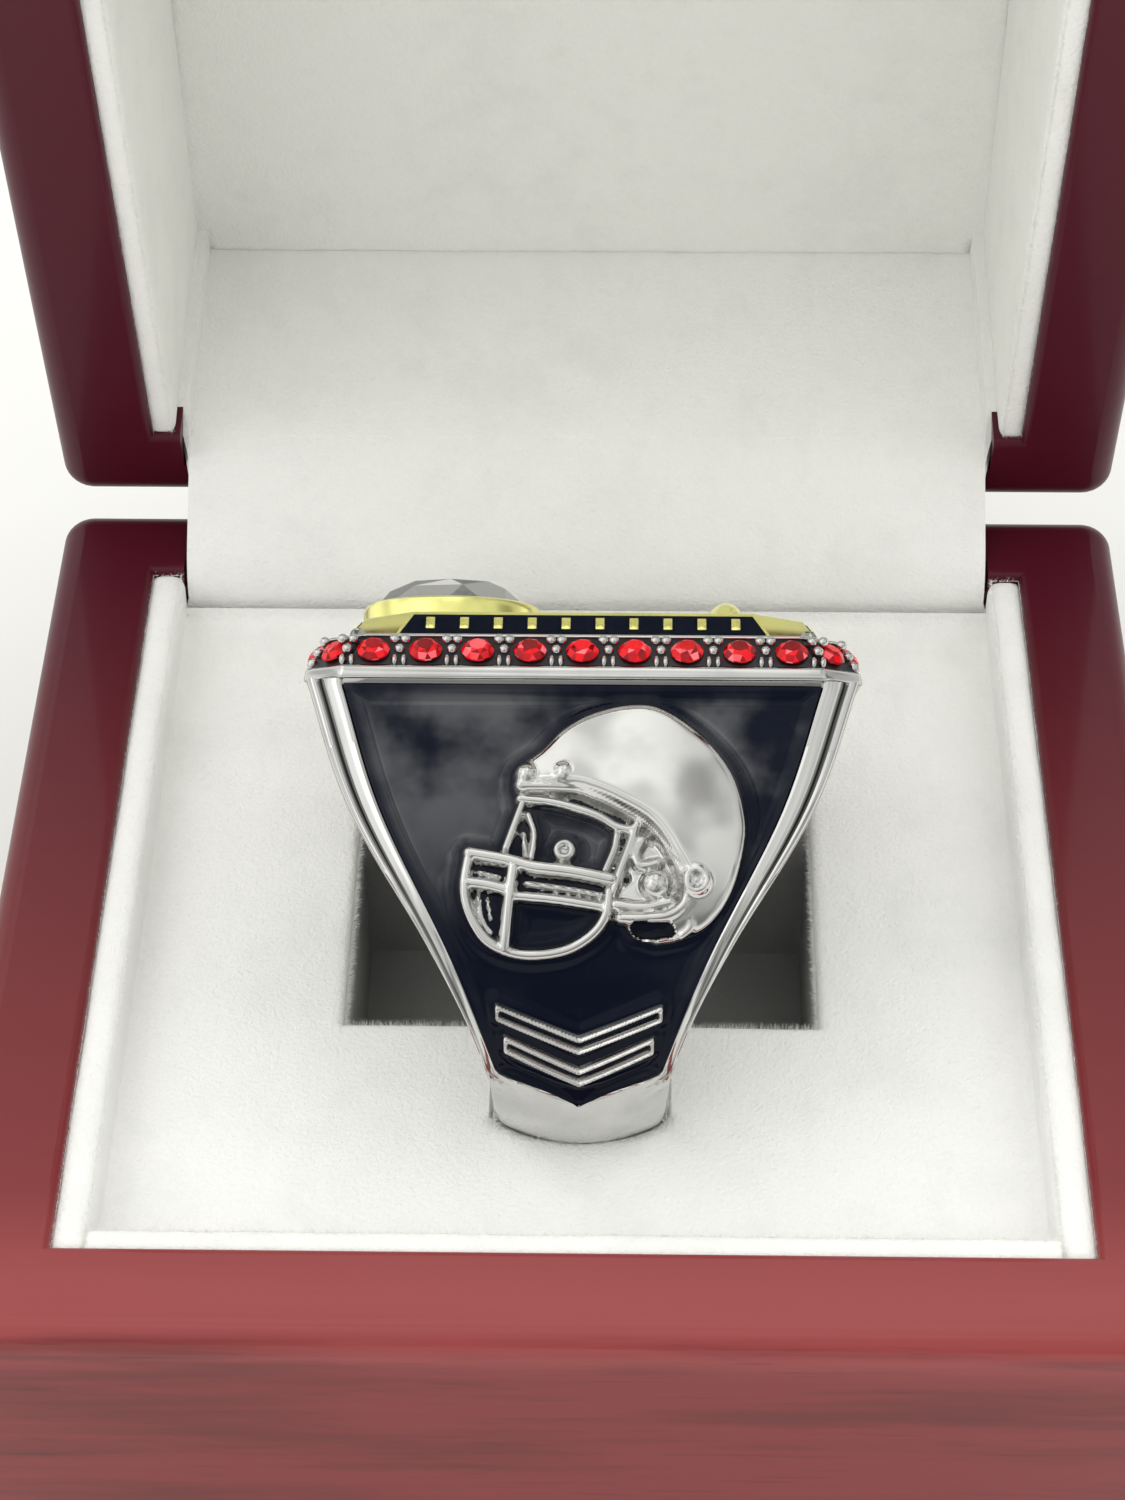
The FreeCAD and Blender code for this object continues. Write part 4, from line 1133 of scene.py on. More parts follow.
def guard_relief(form):
    """The face guard: round bars with gaps between them, and a stud."""
    relief = Relief(form)
    for bar in GUARD_BARS:
        relief.bar(*bar)
    relief.collar(STUD, 0.42, 0.2, 0.25)
    relief.boss(*STUD_BOSS)
    return relief


def chevron_relief(form):
    """Two chevrons, each a raised line round a narrow strip of enamel."""
    relief = Relief(form)
    for half, top in CHEVRONS:
        tip = top - CHEVRON_FALL
        for drop in CHEVRON_LINES:
            relief.bar(((-half, top - drop), (0.0, tip - drop)), CHEVRON_BAR, CHEVRON_BAR)
            relief.bar(((0.0, tip - drop), (half, top - drop)), CHEVRON_BAR, CHEVRON_BAR)
        for end in (-half, half):
            relief.bar([(end, top - drop) for drop in CHEVRON_LINES], CHEVRON_BAR, CHEVRON_BAR)
    return relief


# Each relief with the step of its grid
RELIEFS = {
    "helmet": (helmet_relief, 0.11),
    "face_guard": (guard_relief, 0.09),
    "chevrons": (chevron_relief, 0.09),
}
# The enamel's overlap with its border, its thickness, and how high and how far out it creeps up an edge
ENAMEL_OVERLAP = 0.02
ENAMEL_SKIN = 0.1
BORDER_CREEP = (0.36, 0.55)
RELIEF_CREEP = (0.22, 0.4)


def enamel_mesh(form, sizes, reliefs):
    """The poured enamel of one panel: it creeps up the border and up the reliefs."""
    def to_relief(point):
        return min(tree.find_nearest(point)[3] for tree in reliefs)

    def crept(gap, height, width):
        return height * math.exp(-(gap / width) ** 2)

    def place(share, way):
        z = form.surface(way)[0].z
        half = form.panel_half(z) + ENAMEL_OVERLAP
        gap = min(half * (1.0 - abs(share)), form.panel_top - z, (z - form.panel_tip) + 0.05)
        near = to_relief(form.over(half * share, way, -sizes.enamel_sunk))
        creep = max(crept(gap, *BORDER_CREEP), crept(near, *RELIEF_CREEP))
        return form.over(half * share, way, creep - sizes.enamel_sunk)

    ways = spread(form.way(form.panel_tip), form.way(form.panel_top), 130)
    bm = lattice(spread(-1.0, 1.0, 110), ways, place)
    bmesh.ops.remove_doubles(bm, verts=bm.verts, dist=0.001)
    pour = bm.verts.layers.float.new("pour")
    for vertex in bm.verts:
        x, z = vertex.co.x, vertex.co.z
        gap = min(form.panel_half(z) - abs(x), form.panel_top - z, z - form.panel_tip)
        clear = smooth_step((min(gap, to_relief(vertex.co)) - 0.15) / 0.6)
        vertex[pour] = smooth_step((z + 2.0) / 9.0) * (0.25 + 0.75 * clear)
    bmesh.ops.recalc_face_normals(bm, faces=bm.faces)
    bmesh.ops.solidify(bm, geom=bm.faces[:], thickness=ENAMEL_SKIN)
    return bm


class HeadSide:
    """One face of the head: it leans in from the lower edge to the upper one."""

    def __init__(self, turn, foot, half, rise, draw_in):
        self.out = Vector((math.cos(turn), math.sin(turn), 0))
        self.along = Vector((-self.out.y, self.out.x, 0))
        self.foot = foot
        self.up = UP * rise - self.out * draw_in
        self.half = half

    def place(self, share, shift, lift=0.0):
        """Where a thing stands on this face: its own X along the face, its own Z out of it."""
        rise = self.up.normalized()
        facing = self.along.cross(rise)
        point = self.foot + self.up * share + self.along * shift + facing * lift
        turn = Matrix((self.along, rise, facing)).transposed().to_4x4()
        return Matrix.Translation(point) @ turn


def head_sides(low, high, cut, draw_in):
    """The four long faces of a block with cut corners: front, right, rear and left."""
    sides = []
    for quarter, reach, half in ((3, high.y, high.x), (0, high.x, high.y), (1, high.y, high.x),
                                 (2, high.x, high.y)):
        turn = quarter * math.pi / 2
        foot = Vector((math.cos(turn), math.sin(turn), 0)) * reach + UP * low.z
        sides.append(HeadSide(turn, foot, half - cut, high.z - low.z, draw_in))
    return sides


def head_corners(low, high, cut, draw_in):
    """The four faces of the cut corners of a block."""
    corners = []
    for sign_x, sign_y in ((1, 1), (-1, 1), (-1, -1), (1, -1)):
        foot = Vector((sign_x * (high.x - cut / 2), sign_y * (high.y - cut / 2), low.z))
        corners.append(HeadSide(math.atan2(sign_y, sign_x), foot, cut / math.sqrt(2), high.z - low.z,
                                draw_in * math.sqrt(2)))
    return corners


def head_boxes(place, sizes):
    """The boxes of the ledge, the channel, the lip and the gold plate, each standing on the one before."""
    boxes = {}
    level = box_in("bezel_ledge", place)[0].z
    for node, rise in (("bezel_ledge", sizes.ledge_rise), ("stone_channel", sizes.channel_rise),
                       ("bezel_lip", sizes.lip_rise), ("top_plate", sizes.deck_rise)):
        low, high = box_in(node, place)
        low.z = level
        level += rise
        high.z = level
        boxes[node] = (low, high)
    return boxes


def eight_sided(low, high, cut, draw_in, soft):
    """A block with cut corners, sides that lean in and softened edges."""
    bm = box_mesh(low, high)
    soften(bm, upright(bm), cut, 1)
    middle = (low.z + high.z) / 2
    for vertex in bm.verts:
        if vertex.co.z > middle:
            vertex.co.x -= math.copysign(draw_in, vertex.co.x)
            vertex.co.y -= math.copysign(draw_in, vertex.co.y)
    soften(bm, bm.edges[:], soft, 3)
    return bm


def cut_stone(radius, table, crown, depth, sides=8):
    """A round cut stone: girdle, crown facets, table and point, as a mesh with its girdle at zero."""
    bm = bmesh.new()
    rings = ((2 * sides, radius, 0.0, 0.0), (sides, (radius + table) / 2, crown * 0.66, math.pi / sides / 2),
             (sides, table, crown, 0.0), (2 * sides, radius * 0.97, -depth / 4, 0.0),
             (sides, radius * 0.3, -depth, 0.0))
    for segments, reach, height, turn in rings:
        place = Matrix.Rotation(turn, 4, "Z") @ Matrix.Translation((0, 0, height))
        bmesh.ops.create_circle(bm, segments=segments, radius=reach, matrix=place)
    bmesh.ops.convex_hull(bm, input=bm.verts)
    bmesh.ops.dissolve_limit(bm, angle_limit=math.radians(1.0), verts=bm.verts, edges=bm.edges)
    return as_mesh(bm)


def tone_facets(bm):
    """Gives each facet its own value for the painted shade and glints, the same on every run."""
    layer = bm.faces.layers.float.new("facet")
    for number, face in enumerate(bm.faces):
        face[layer] = math.modf(abs(math.sin(12.9898 * number + 4.1) * 43758.5453))[0]


def bead(radius, stretch=(1.0, 1.0, 1.0)):
    bm = bmesh.new()
    bmesh.ops.create_icosphere(bm, subdivisions=2, radius=radius, matrix=Matrix.Diagonal((*stretch, 1.0)))
    return as_mesh(bm)


# Operators: one for each piece or group of like pieces

class CaseOperator:
    bl_options = {"REGISTER", "UNDO"}

    def execute(self, context):
        self.make(context.scene)
        return {"FINISHED"}


class RINGCASE_OT_wood(CaseOperator, bpy.types.Operator):
    """Lacquers the base and the lid, and leaves the floor board bare"""
    bl_idname = "ring_case.wood"
    bl_label = "Wood"

    def make(self, scene):
        dress("lacquered_wood", "base_shell", "lid_shell")
        dress("bare_board", "base_floor")


class RINGCASE_OT_hinge(CaseOperator, bpy.types.Operator):
    """Gives the hinge leaves, the pin and the screws a brass finish"""
    bl_idname = "ring_case.hinge"
    bl_label = "Hinge"

    def make(self, scene):
        dress("hinge_brass", "hinge_leaf_base", "hinge_leaf_lid", "hinge_pin", "hinge_screws_base",
              "hinge_screws_lid")


class RINGCASE_OT_felt(CaseOperator, bpy.types.Operator):
    """Lays the felt under the case"""
    bl_idname = "ring_case.felt"
    bl_label = "Felt"

    def make(self, scene):
        low, high = box_in("base_felt")
        bm = box_mesh(low, high)
        soften(bm, upright(bm), in_mm(scene.velvet_sizes).felt_corner, 5)
        sheet = new_piece("felt_sheet", bm, "base", "felt_cloth", ["base_felt"], sharp=40.0)


class RINGCASE_OT_base_liners(CaseOperator, bpy.types.Operator):
    """Lines the walls of the base with velvet-covered cards"""
    bl_idname = "ring_case.base_liners"
    bl_label = "Base liners"

    def make(self, scene):
        sizes = in_mm(scene.velvet_sizes)
        for side in ("left", "right", "front"):
            velvet_board(f"velvet_base_{side}", f"base_liner_{side}", "base", None, sizes)


class RINGCASE_OT_pad(CaseOperator, bpy.types.Operator):
    """Makes the velvet pad with its slot and the dent that the band presses in it"""
    bl_idname = "ring_case.pad"
    bl_label = "Ring pad"

    def make(self, scene):
        sizes = in_mm(scene.velvet_sizes)
        form = PadForm(sizes, in_mm(scene.ring_sizes))
        columns = fine_ends([form.low.x, form.slot_low.x, form.ring.x - sizes.dent_half,
                             form.ring.x + sizes.dent_half, form.slot_high.x, form.high.x], 0.9)
        rows = fine_ends([form.low.y, form.dent_front, form.slot_low.y, form.slot_high.y, form.high.y], 0.9)
        bm = lattice(columns, rows, form.top)
        opened = [face for face in bm.faces if form.in_slot(face.calc_center_median())]
        bmesh.ops.delete(bm, geom=opened, context="FACES")
        ripple(bm, sizes.wave, 6.0, lambda vertex: not vertex.is_boundary)
        # The "depth" attribute holds painted shade: it grows towards the slot's floor, where shade falls.
        depth = bm.verts.layers.float.new("depth")

        def paint_slot_shade(vertex):
            vertex[depth] = smooth_step((form.high.z - 1.0 - vertex.co.z) / 4.0)

        rims = {True: [], False: []}
        for edge in bm.edges:
            if edge.is_boundary:
                rims[form.at_rim(edge.verts[0].co)].append(edge)
        draw_down(bm, rims[False], form.slot_low.z, 8, paint_slot_shade)
        draw_down(bm, rims[True], form.bottom, 8, lambda vertex: None)
        pad = new_piece("velvet_pad", bm, "base", "velvet_pile", ["pad_core", "pad_cover", "slot_lining"])


class RINGCASE_OT_lid_lining(CaseOperator, bpy.types.Operator):
    """Lines the lid: four velvet-covered cards and the padded panel under its top"""
    bl_idname = "ring_case.lid_lining"
    bl_label = "Lid lining"

    def make(self, scene):
        sizes = in_mm(scene.velvet_sizes)
        for side in ("left", "right", "front", "rear"):
            velvet_board(f"velvet_lid_{side}", f"lid_liner_{side}", "lid", LID_OPEN, sizes)
        panel = new_piece("velvet_lid_panel", self.panel(sizes), "lid", "velvet_pile", ["lid_pad"], LID_OPEN)

    def panel(self, sizes):
        """A panel that swells from its knee to the hinge, narrows at its neck and is rounded below."""
        low, high = box_in("lid_pad", LID_OPEN)
        neck_half = box_in("lid_liner_rear", LID_OPEN)[1].x
        face = high.z - sizes.panel_front
        knee = sizes.panel_knee
        bm = box_mesh(Vector((low.x, low.y, face)), high)
        for y in (knee, sizes.panel_neck - 0.05, sizes.panel_neck + 0.05):
            cut_along(bm, y)
        for vertex in bm.verts:
            if vertex.co.y > sizes.panel_neck:
                vertex.co.x = math.copysign(neck_half, vertex.co.x)
            if vertex.co.z < face + 0.1:
                vertex.co.z -= (face - low.z) * max(0.0, (vertex.co.y - knee) / (high.y - knee))
        lower = [edge for edge in bm.edges if edge.is_manifold and edge.calc_face_angle() > 1.0
                 and max(vertex.co.z for vertex in edge.verts) < face + 0.1]
        soften(bm, lower, sizes.panel_round, 4)
        refine(bm)
        for vertex in bm.verts:
            if vertex.co.z < face + 0.9:
                across = 2 * vertex.co.x / (high.x - low.x)
                along = 2 * (vertex.co.y - (low.y + high.y) / 2) / (high.y - low.y)
                vertex.co.z -= sizes.panel_crown * max(0.0, 1 - across ** 2) * max(0.0, 1 - along ** 2)
        ripple(bm, sizes.wave, 6.0)
        return bm


class RINGCASE_OT_flap(CaseOperator, bpy.types.Operator):
    """Hangs the velvet strip over the hinge, from behind the pad to the fold in the lid"""
    bl_idname = "ring_case.flap"
    bl_label = "Hinge flap"

    def make(self, scene):
        sizes = in_mm(scene.velvet_sizes)
        path = FlapPath(sizes)
        flap = new_piece("velvet_flap", path.mesh(sizes), None, "velvet_pile", ["hinge_flap"])
        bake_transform(flap)
        path.flat()


class RINGCASE_OT_pile(CaseOperator, bpy.types.Operator):
    """Adds loose hairs of the pile where the velvet ends: at the slot, the band and the wood"""
    bl_idname = "ring_case.pile"
    bl_label = "Pile"

    def make(self, scene):
        sizes = in_mm(scene.velvet_sizes)
        form = PadForm(sizes, in_mm(scene.ring_sizes))
        lines = []
        for start, end, out in box_edges(form.slot_low, form.slot_high, form.high.z - 0.5 * sizes.slot_round):
            lines.append((start, end, UP - out, "slot"))
        for side in (-1, 1):
            x = form.ring.x + side * (sizes.dent_half + 0.3 * sizes.dent_edge)
            foot = Vector((x, form.dent_front, form.high.z))
            lines.append((foot, Vector((x, form.slot_low.y, form.high.z)), UP - Vector((side, 0, 0)), "band"))
        half = Vector((sizes.dent_half, 0, 0))
        middle = Vector((form.ring.x, form.dent_front, form.high.z))
        lines.append((middle - half, middle + half, UP + Vector((0, 0.4, 0)), "band_front"))
        for side in ("left", "right", "front"):
            low, high = box_in(f"base_liner_{side}")
            for start, end, out in box_edges(low, high, high.z - 0.1):
                lines.append((start, end, UP + 0.6 * out, "liner"))
        hairs("velvet_hairs_base", lines, "base")
        lines = []
        for side in ("left", "right"):
            low, high = box_in(f"lid_liner_{side}", LID_OPEN)
            for start, end, out in box_edges(low, high, low.z + 0.1):
                lines.append((start, end, 0.6 * out - UP, "liner"))
        hairs("velvet_hairs_lid", lines, "lid", LID_OPEN)


class RingOperator(CaseOperator):
    """An operator for pieces of the ring, which are made in the ring's own axes."""

    def make(self, scene):
        self.sizes = in_mm(scene.ring_sizes)
        self.ring = ring_place(self.sizes)
        self.make_ring_pieces()

    def box(self, node):
        return box_in(node, self.ring)

    def piece(self, name, bm, finish, node, sharp=35.0, turn=Matrix.Identity(4)):
        new_piece(name, bm, "ring", finish, [node], self.ring @ turn, sharp)


class RINGCASE_OT_band(RingOperator, bpy.types.Operator):
    """Casts the ring's band and shoulders"""
    bl_idname = "ring_case.band"
    bl_label = "Ring band"

    def make_ring_pieces(self):
        self.piece("cast_band", band_mesh(RingForm(self.sizes), self.sizes), "cast_silver", "ring_band")


class RINGCASE_OT_shoulders(RingOperator, bpy.types.Operator):
    """Sets the helmets, face guards and chevrons on both shoulders and pours the enamel round them"""
    bl_idname = "ring_case.shoulders"
    bl_label = "Shoulders"

    def make_ring_pieces(self):
        form = RingForm(self.sizes)
        trees = []
        for name, (relief, step) in RELIEFS.items():
            bm = relief(form).mesh(step)
            trees.append(BVHTree.FromBMesh(bm))
            self.both(name, bm, "cast_silver")
        self.both("enamel", enamel_mesh(form, self.sizes, trees), "poured_enamel")

    def both(self, name, bm, finish):
        """The same piece on the front and the rear shoulder."""
        rear = bm.copy()
        self.piece(f"cast_{name}_front", bm, finish, f"{name}_front", 50.0)
        self.piece(f"cast_{name}_rear", rear, finish, f"{name}_rear", 50.0, HALF_TURN)


class RINGCASE_OT_bezel(RingOperator, bpy.types.Operator):
    """Makes the ledge, the dark channel and the lip that hold the red stones"""
    bl_idname = "ring_case.bezel"
    bl_label = "Bezel"

    def make_ring_pieces(self):
        boxes = head_boxes(self.ring, self.sizes)
        steps = (("bezel_ledge", 0.15, 0.22, "cast_silver"),
                 ("stone_channel", self.sizes.channel_slope, 0.05, "blackened_silver"),
                 ("bezel_lip", 0.1, 0.1, "cast_silver"))
        for node, draw_in, soft, finish in steps:
            bm = eight_sided(*boxes[node], self.sizes.corner_cut, draw_in, soft)
            self.piece(f"cast_{node}", bm, finish, node)


# Where stones, beads and prongs stand on the channel: share of its height, lift out of it, shift to each side
STONE_SEAT = (0.5, 0.12)
MIDDLE_BEAD = (0.52, 0.08)
UPPER_BEADS = (0.88, 0.04, 0.30)
LOWER_PRONGS = (0.16, 0.05, 0.255)
PRONG_STRETCH = (0.85, 1.7, 1.2)


class RINGCASE_OT_red_stones(RingOperator, bpy.types.Operator):
    """Sets the red stones in the channel, with beads and prongs between them"""
    bl_idname = "ring_case.red_stones"
    bl_label = "Red stones"

    def make_ring_pieces(self):
        sizes = self.sizes
        channel = (*head_boxes(self.ring, sizes)["stone_channel"], sizes.corner_cut, sizes.channel_slope)
        tilt = Matrix.Rotation(-sizes.stone_tilt, 4, "X")
        cut = cut_stone(sizes.stone_radius, 0.52 * sizes.stone_radius, 0.42, 0.5)
        drop = bead(sizes.bead_radius)
        prong = bead(sizes.prong_radius, PRONG_STRETCH)
        stones = bmesh.new()
        silver = bmesh.new()
        seat, lift = STONE_SEAT
        for side in head_sides(*channel):
            count = int(2 * side.half / sizes.stone_pitch)
            for step in range(count):
                shift = (step - (count - 1) / 2) * sizes.stone_pitch
                stamp(stones, cut, side.place(seat, shift, lift) @ tilt)
            for step in range(count + 1):
                shift = (step - count / 2) * sizes.stone_pitch
                stamp(silver, drop, side.place(MIDDLE_BEAD[0], shift, MIDDLE_BEAD[1]))
                for hand in (-1, 1):
                    for source, (share, out, aside) in ((drop, UPPER_BEADS), (prong, LOWER_PRONGS)):
                        stamp(silver, source, side.place(share, shift + hand * aside, out))
        for corner in head_corners(*channel):
            stamp(stones, cut, corner.place(seat, 0.0, lift) @ tilt)
        tone_facets(stones)
        self.piece("cut_red_stones", stones, "red_glass", "red_stones", 5.0)
        self.piece("bead_prongs", silver, "cast_silver", "stone_prongs", 60.0)


# The dark strips and gold bars: share of the height of the gold top's side, and how far they stand out of it
STRIP_SEAT = 0.45
STRIP_DEPTHS = (-0.1, 0.06)
BAR_FOOT = 0.05
BAR_TALL = 0.14


class RINGCASE_OT_deck(RingOperator, bpy.types.Operator):
    """Makes the gold top: its plate, the dark strips with plain gold bars, and the football boss"""
    bl_idname = "ring_case.deck"
    bl_label = "Gold top"

    def make_ring_pieces(self):
        sizes = self.sizes
        low, high = head_boxes(self.ring, sizes)["top_plate"]
        plate = eight_sided(low, high, sizes.deck_cut, sizes.deck_slope, 0.12)
        self.piece("gold_plate", plate, "bright_gold", "top_plate")
        cup_low, cup_high = self.box("stone_cup")
        cup_middle = (cup_low + cup_high) / 2
        clear = (cup_high.x - cup_low.x) / 2 + 0.7
        bar = box_mesh(Vector((-sizes.bar_half_width, -sizes.bar_half_height, 0.0)),
                       Vector((sizes.bar_half_width, sizes.bar_half_height, BAR_TALL)))
        soften(bar, bar.edges[:], 0.05, 2)
        mark = as_mesh(bar)
        strips = bmesh.new()
        bars = bmesh.new()
        for side in head_sides(low, high, sizes.deck_cut, sizes.deck_slope):
            half = side.half - sizes.strip_end
            stamp(strips, self.strip(half), side.place(STRIP_SEAT, 0.0))
            count = int(2 * half / sizes.bar_pitch)
            for step in range(count):
                place = side.place(STRIP_SEAT, (step - (count - 1) / 2) * sizes.bar_pitch, BAR_FOOT)
                if (place.translation - cup_middle).xy.length > clear:
                    stamp(bars, mark, place)
        self.piece("strip_panels", strips, "poured_enamel", "strip_enamel")
        self.piece("gold_bars", bars, "bright_gold", "strip_bars")
        self.piece("gold_football", self.football(high.z), "bright_gold", "football_boss", 50.0)

    def strip(self, half):
        """A dark strip, narrower at its upper edge, as the side of the gold top is."""
        reach = Vector((half, self.sizes.strip_half, 0.0))
        bm = box_mesh(UP * STRIP_DEPTHS[0] - reach, UP * STRIP_DEPTHS[1] + reach)
        for vertex in bm.verts:
            if vertex.co.y > 0.0:
                vertex.co.x -= math.copysign(0.75 * self.sizes.deck_slope, vertex.co.x)
        return as_mesh(bm)

    def football(self, seat):
        """The upper half of a ball, drawn out to the boss's length."""
        low, high = self.box("football_boss")
        middle = (low + high) / 2
        reach = (high - low) / 2
        bm = bmesh.new()
        bmesh.ops.create_uvsphere(bm, u_segments=24, v_segments=16, radius=1.0)
        bmesh.ops.bisect_plane(bm, geom=[*bm.verts, *bm.edges, *bm.faces], plane_co=(0, 0, 0),
                               plane_no=(0, 0, 1), clear_inner=True)
        bmesh.ops.edgeloop_fill(bm, edges=[edge for edge in bm.edges if edge.is_boundary])
        bm.transform(Matrix.Translation((middle.x, middle.y, seat))
                     @ Matrix.Diagonal((reach.x, reach.y, high.z - low.z + self.sizes.boss_lift, 1.0)))
        return bm


# The cup's rim, from its wall to the stone's seat: how far in from the wall, and how far down from the top
CUP_RIM = ((0.0, 0.5), (0.15, 0.12), (0.4, 0.0), (0.62, 0.1), (0.7, 0.9))


class RINGCASE_OT_clear_stones(RingOperator, bpy.types.Operator):
    """Sets the large clear stone in its gold cup, and the small clear stones at the corners"""
    bl_idname = "ring_case.clear_stones"
    bl_label = "Clear stones"

    def make_ring_pieces(self):
        sizes = self.sizes
        low, high = self.box("stone_cup")
        foot = Vector(((low.x + high.x) / 2, (low.y + high.y) / 2, low.z))
        tall = high.z - low.z - sizes.cup_drop
        cup = self.cup((high.x - low.x) / 2 + sizes.cup_flare, tall)
        cup.transform(Matrix.Translation(foot))
        self.piece("gold_cup", cup, "bright_gold", "stone_cup")

        gem_low, gem_high = self.box("large_stone")
        radius = (gem_high.x - gem_low.x) / 2 + sizes.cup_flare
        girdle = foot + UP * tall
        cut = cut_stone(radius - 0.02, 0.66 * radius, gem_high.z - sizes.gem_drop - girdle.z, 0.8)
        self.stones("cut_large_stone", "large_stone", cut, [girdle])

        low, high = self.box("clear_stones")
        seat = head_boxes(self.ring, sizes)["top_plate"][0].z + 0.15
        pebble = cut_stone(sizes.small_stone, 0.28, 0.3, 0.2)
        self.stones("cut_corner_stones", "clear_stones", pebble,
                    [Vector((x, y, seat)) for x in (low.x + 0.45, high.x - 0.45)
                     for y in (low.y + 0.45, high.y - 0.45)])

    def cup(self, radius, tall):
        """A round cup with a rolled rim."""
        profile = [(0.0, 0.0), (radius, 0.0), *((radius - inward, tall - down) for inward, down in CUP_RIM),
                   (0.0, tall - CUP_RIM[-1][1])]
        bm = bmesh.new()
        points = [bm.verts.new((x, 0, z)) for x, z in profile]
        edges = [bm.edges.new(pair) for pair in zip(points, points[1:])]
        bmesh.ops.spin(bm, geom=[*points, *edges], axis=(0, 0, 1), cent=(0, 0, 0), angle=2 * math.pi,
                       steps=64, use_merge=True)
        bmesh.ops.remove_doubles(bm, verts=bm.verts, dist=0.001)
        return bm

    def stones(self, name, node, cut, places):
        """Copies of a clear stone, each facet in its own tone."""
        bm = bmesh.new()
        for place in places:
            stamp(bm, cut, Matrix.Translation(place))
        tone_facets(bm)
        self.piece(name, bm, "clear_glass", node, 5.0)


# Directions of the room's light: from the photographer, and from the dark side at the right
FROM_FRONT = (0.0, -0.80, 0.60)
FROM_RIGHT = (0.75, 0.25, 0.60)


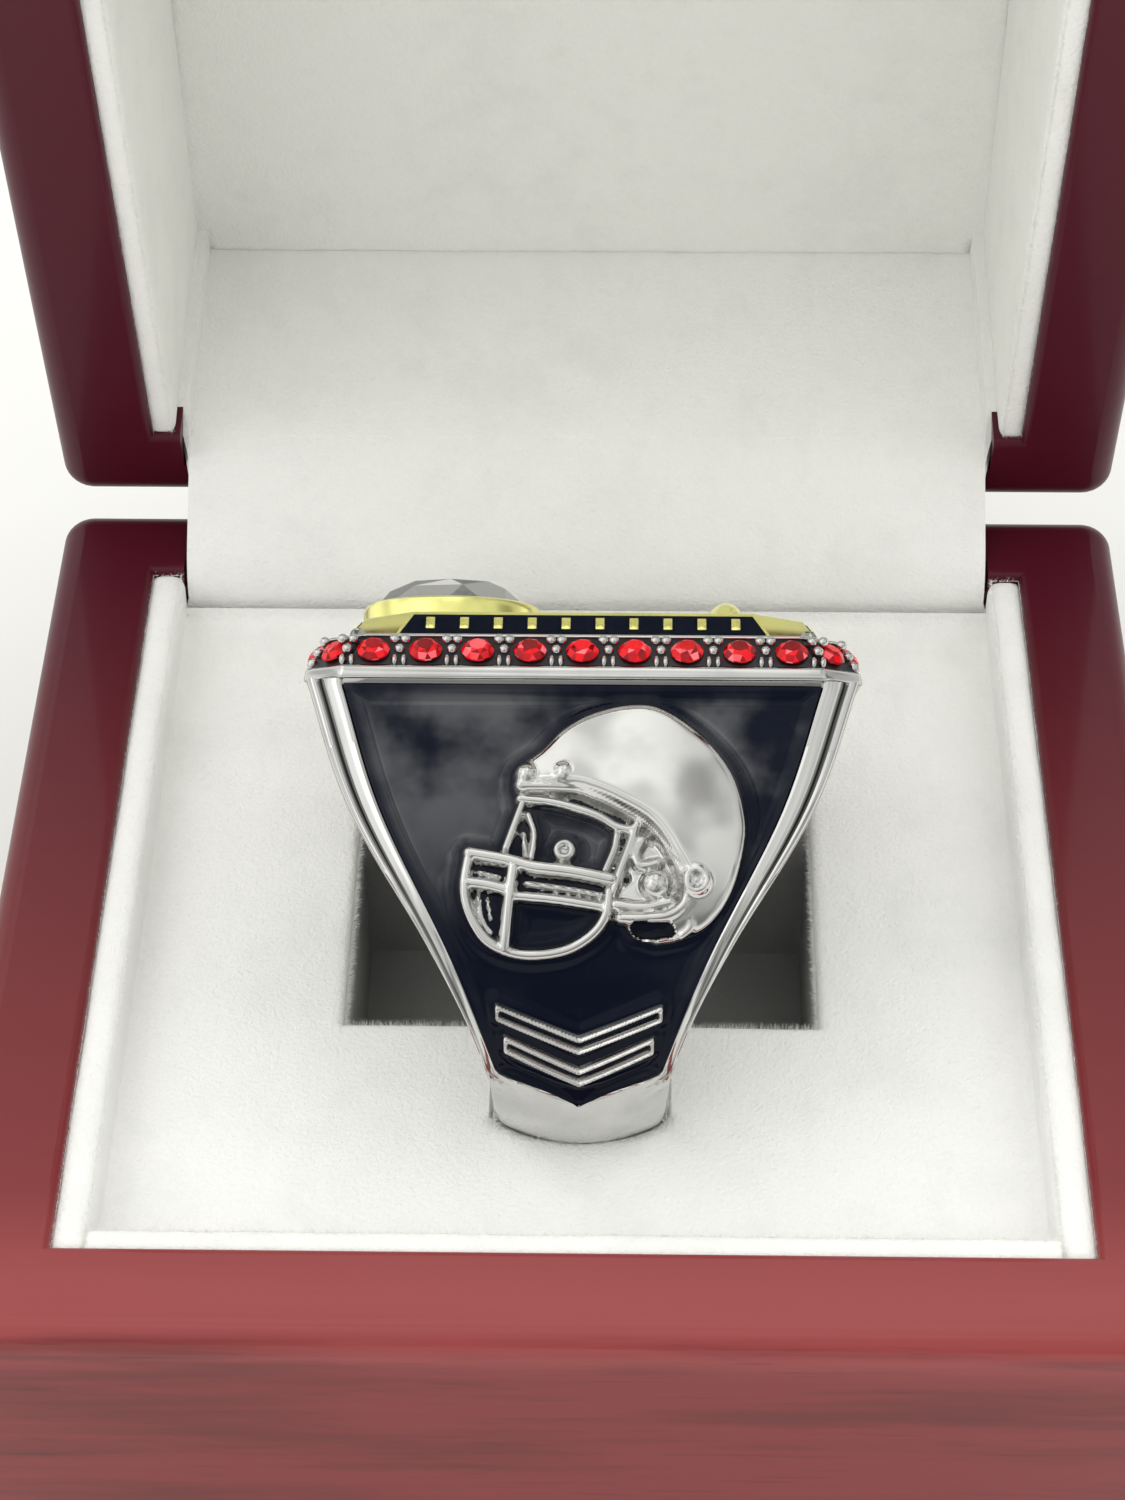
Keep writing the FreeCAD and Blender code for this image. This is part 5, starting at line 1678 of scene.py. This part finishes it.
class RINGCASE_OT_stage(CaseOperator, bpy.types.Operator):
    """Sets up the pale floor, the soft light and the camera"""
    bl_idname = "ring_case.stage"
    bl_label = "Stage"

    def make(self, scene):
        sizes = scene.stage_sizes
        scene.view_settings.view_transform = "Standard"
        self.floor(scene, sizes)
        self.lamp(scene, sizes)
        self.sky(scene, sizes)
        self.camera(scene, sizes)

    def floor(self, scene, sizes):
        bm = bmesh.new()
        bmesh.ops.create_grid(bm, x_segments=1, y_segments=1, size=sizes.floor_half)
        mesh = as_mesh(bm, "floor")
        mesh.materials.append(finish_of("pale_floor"))
        floor = bpy.data.objects.new("floor", mesh)
        floor.location.z = CAD_BOX[0].z
        scene.collection.objects.link(floor)

    def lamp(self, scene, sizes):
        light = bpy.data.lights.new("key", "AREA")
        light.energy = sizes.lamp_power
        light.size = sizes.lamp_side
        lamp = bpy.data.objects.new("key", light)
        aim = Vector(sizes.lamp_aim) - Vector(sizes.lamp_place)
        turn = aim.to_track_quat("-Z", "Y").to_matrix().to_4x4()
        lamp.matrix_world = Matrix.Translation(sizes.lamp_place) @ turn
        scene.collection.objects.link(lamp)

    def sky(self, scene, sizes):
        """Light from all round, brighter overhead, dim in front, and pale where the camera looks at it."""
        world = bpy.data.worlds.new("sky")
        world.use_nodes = True
        scene.world = world
        nodes = Nodes(world.node_tree)
        direction = Reading(nodes, nodes.node("ShaderNodeTexCoord").outputs["Generated"])
        path = nodes.node("ShaderNodeLightPath")
        mirrored = Reading(nodes, path.outputs["Is Glossy Ray"])
        seen = Reading(nodes, path.outputs["Is Camera Ray"])
        room = nodes.node("ShaderNodeTexNoise", {}, {"Vector": direction, "Scale": 2.2, "Detail": 2.0})
        overhead = nodes.ramp(nodes.dot(direction, UP), 0.1, 0.75)
        front = nodes.ramp(nodes.dot(direction, FROM_FRONT), 0.60, 0.97)
        right = nodes.ramp(nodes.dot(direction, FROM_RIGHT), 0.62, 0.95)
        shade = nodes.ramp(Reading(nodes, room.outputs[0]), 0.47, 0.60) * 0.35 + right * 0.45
        dimmed = front * sizes.front_dim * (mirrored * 0.35 + 0.65)
        light = overhead * (sizes.sky - sizes.horizon) + sizes.horizon - dimmed
        light = light * (1.0 - mirrored * shade)
        shader = world.node_tree.nodes["Background"]
        shader.inputs["Color"].default_value = (1.0, 1.0, 0.975, 1.0)
        nodes.plug(shader.inputs["Strength"], light + seen * (sizes.backdrop - light))

    def camera(self, scene, sizes):
        ahead = Vector((math.sin(sizes.yaw) * math.cos(sizes.pitch),
                        math.cos(sizes.yaw) * math.cos(sizes.pitch), -math.sin(sizes.pitch)))
        level = Vector((math.cos(sizes.yaw), -math.sin(sizes.yaw), 0))
        above = level.cross(ahead)
        right = math.cos(sizes.roll) * level + math.sin(sizes.roll) * above
        up = math.cos(sizes.roll) * above - math.sin(sizes.roll) * level
        lens = bpy.data.cameras.new("camera")
        lens.sensor_fit = "VERTICAL"
        lens.sensor_height = SENSOR
        lens.lens = sizes.focal * SENSOR / IMAGE_HEIGHT
        lens.clip_start = 0.01
        camera = bpy.data.objects.new("camera", lens)
        turn = Matrix((right, up, -ahead)).transposed().to_4x4()
        camera.matrix_world = Matrix.Translation(sizes.eye) @ turn
        scene.collection.objects.link(camera)
        scene.camera = camera


OPERATORS = (RINGCASE_OT_wood, RINGCASE_OT_hinge, RINGCASE_OT_felt, RINGCASE_OT_base_liners, RINGCASE_OT_pad,
             RINGCASE_OT_lid_lining, RINGCASE_OT_flap, RINGCASE_OT_pile, RINGCASE_OT_band,
             RINGCASE_OT_shoulders, RINGCASE_OT_bezel, RINGCASE_OT_red_stones, RINGCASE_OT_deck,
             RINGCASE_OT_clear_stones, RINGCASE_OT_stage)
GROUPS = {"velvet_sizes": VelvetSizes, "ring_sizes": RingSizes, "finish_colours": FinishColours,
          "stage_sizes": StageSizes}


class RINGCASE_PT_panel(bpy.types.Panel):
    """Lists the operators and their sizes and colours"""
    bl_idname = "RINGCASE_PT_panel"
    bl_label = "Ring case"
    bl_space_type = "VIEW_3D"
    bl_region_type = "UI"
    bl_category = "Ring case"

    def draw(self, context):
        for operator in OPERATORS:
            self.layout.operator(operator.bl_idname)
        for group in GROUPS:
            box = self.layout.box()
            values = getattr(context.scene, group)
            for name in values.__annotations__:
                box.prop(values, name)


CLASSES = (*GROUPS.values(), *OPERATORS, RINGCASE_PT_panel)


def register():
    for each in CLASSES:
        bpy.utils.register_class(each)
    for name, group in GROUPS.items():
        setattr(bpy.types.Scene, name, PointerProperty(type=group))


def unregister():
    for name in GROUPS:
        delattr(bpy.types.Scene, name)
    for each in reversed(CLASSES):
        bpy.utils.unregister_class(each)


def main():
    register()
    for operator in OPERATORS:
        family, name = operator.bl_idname.split(".")
        getattr(getattr(bpy.ops, family), name)()


if __name__ == "__main__":
    main()
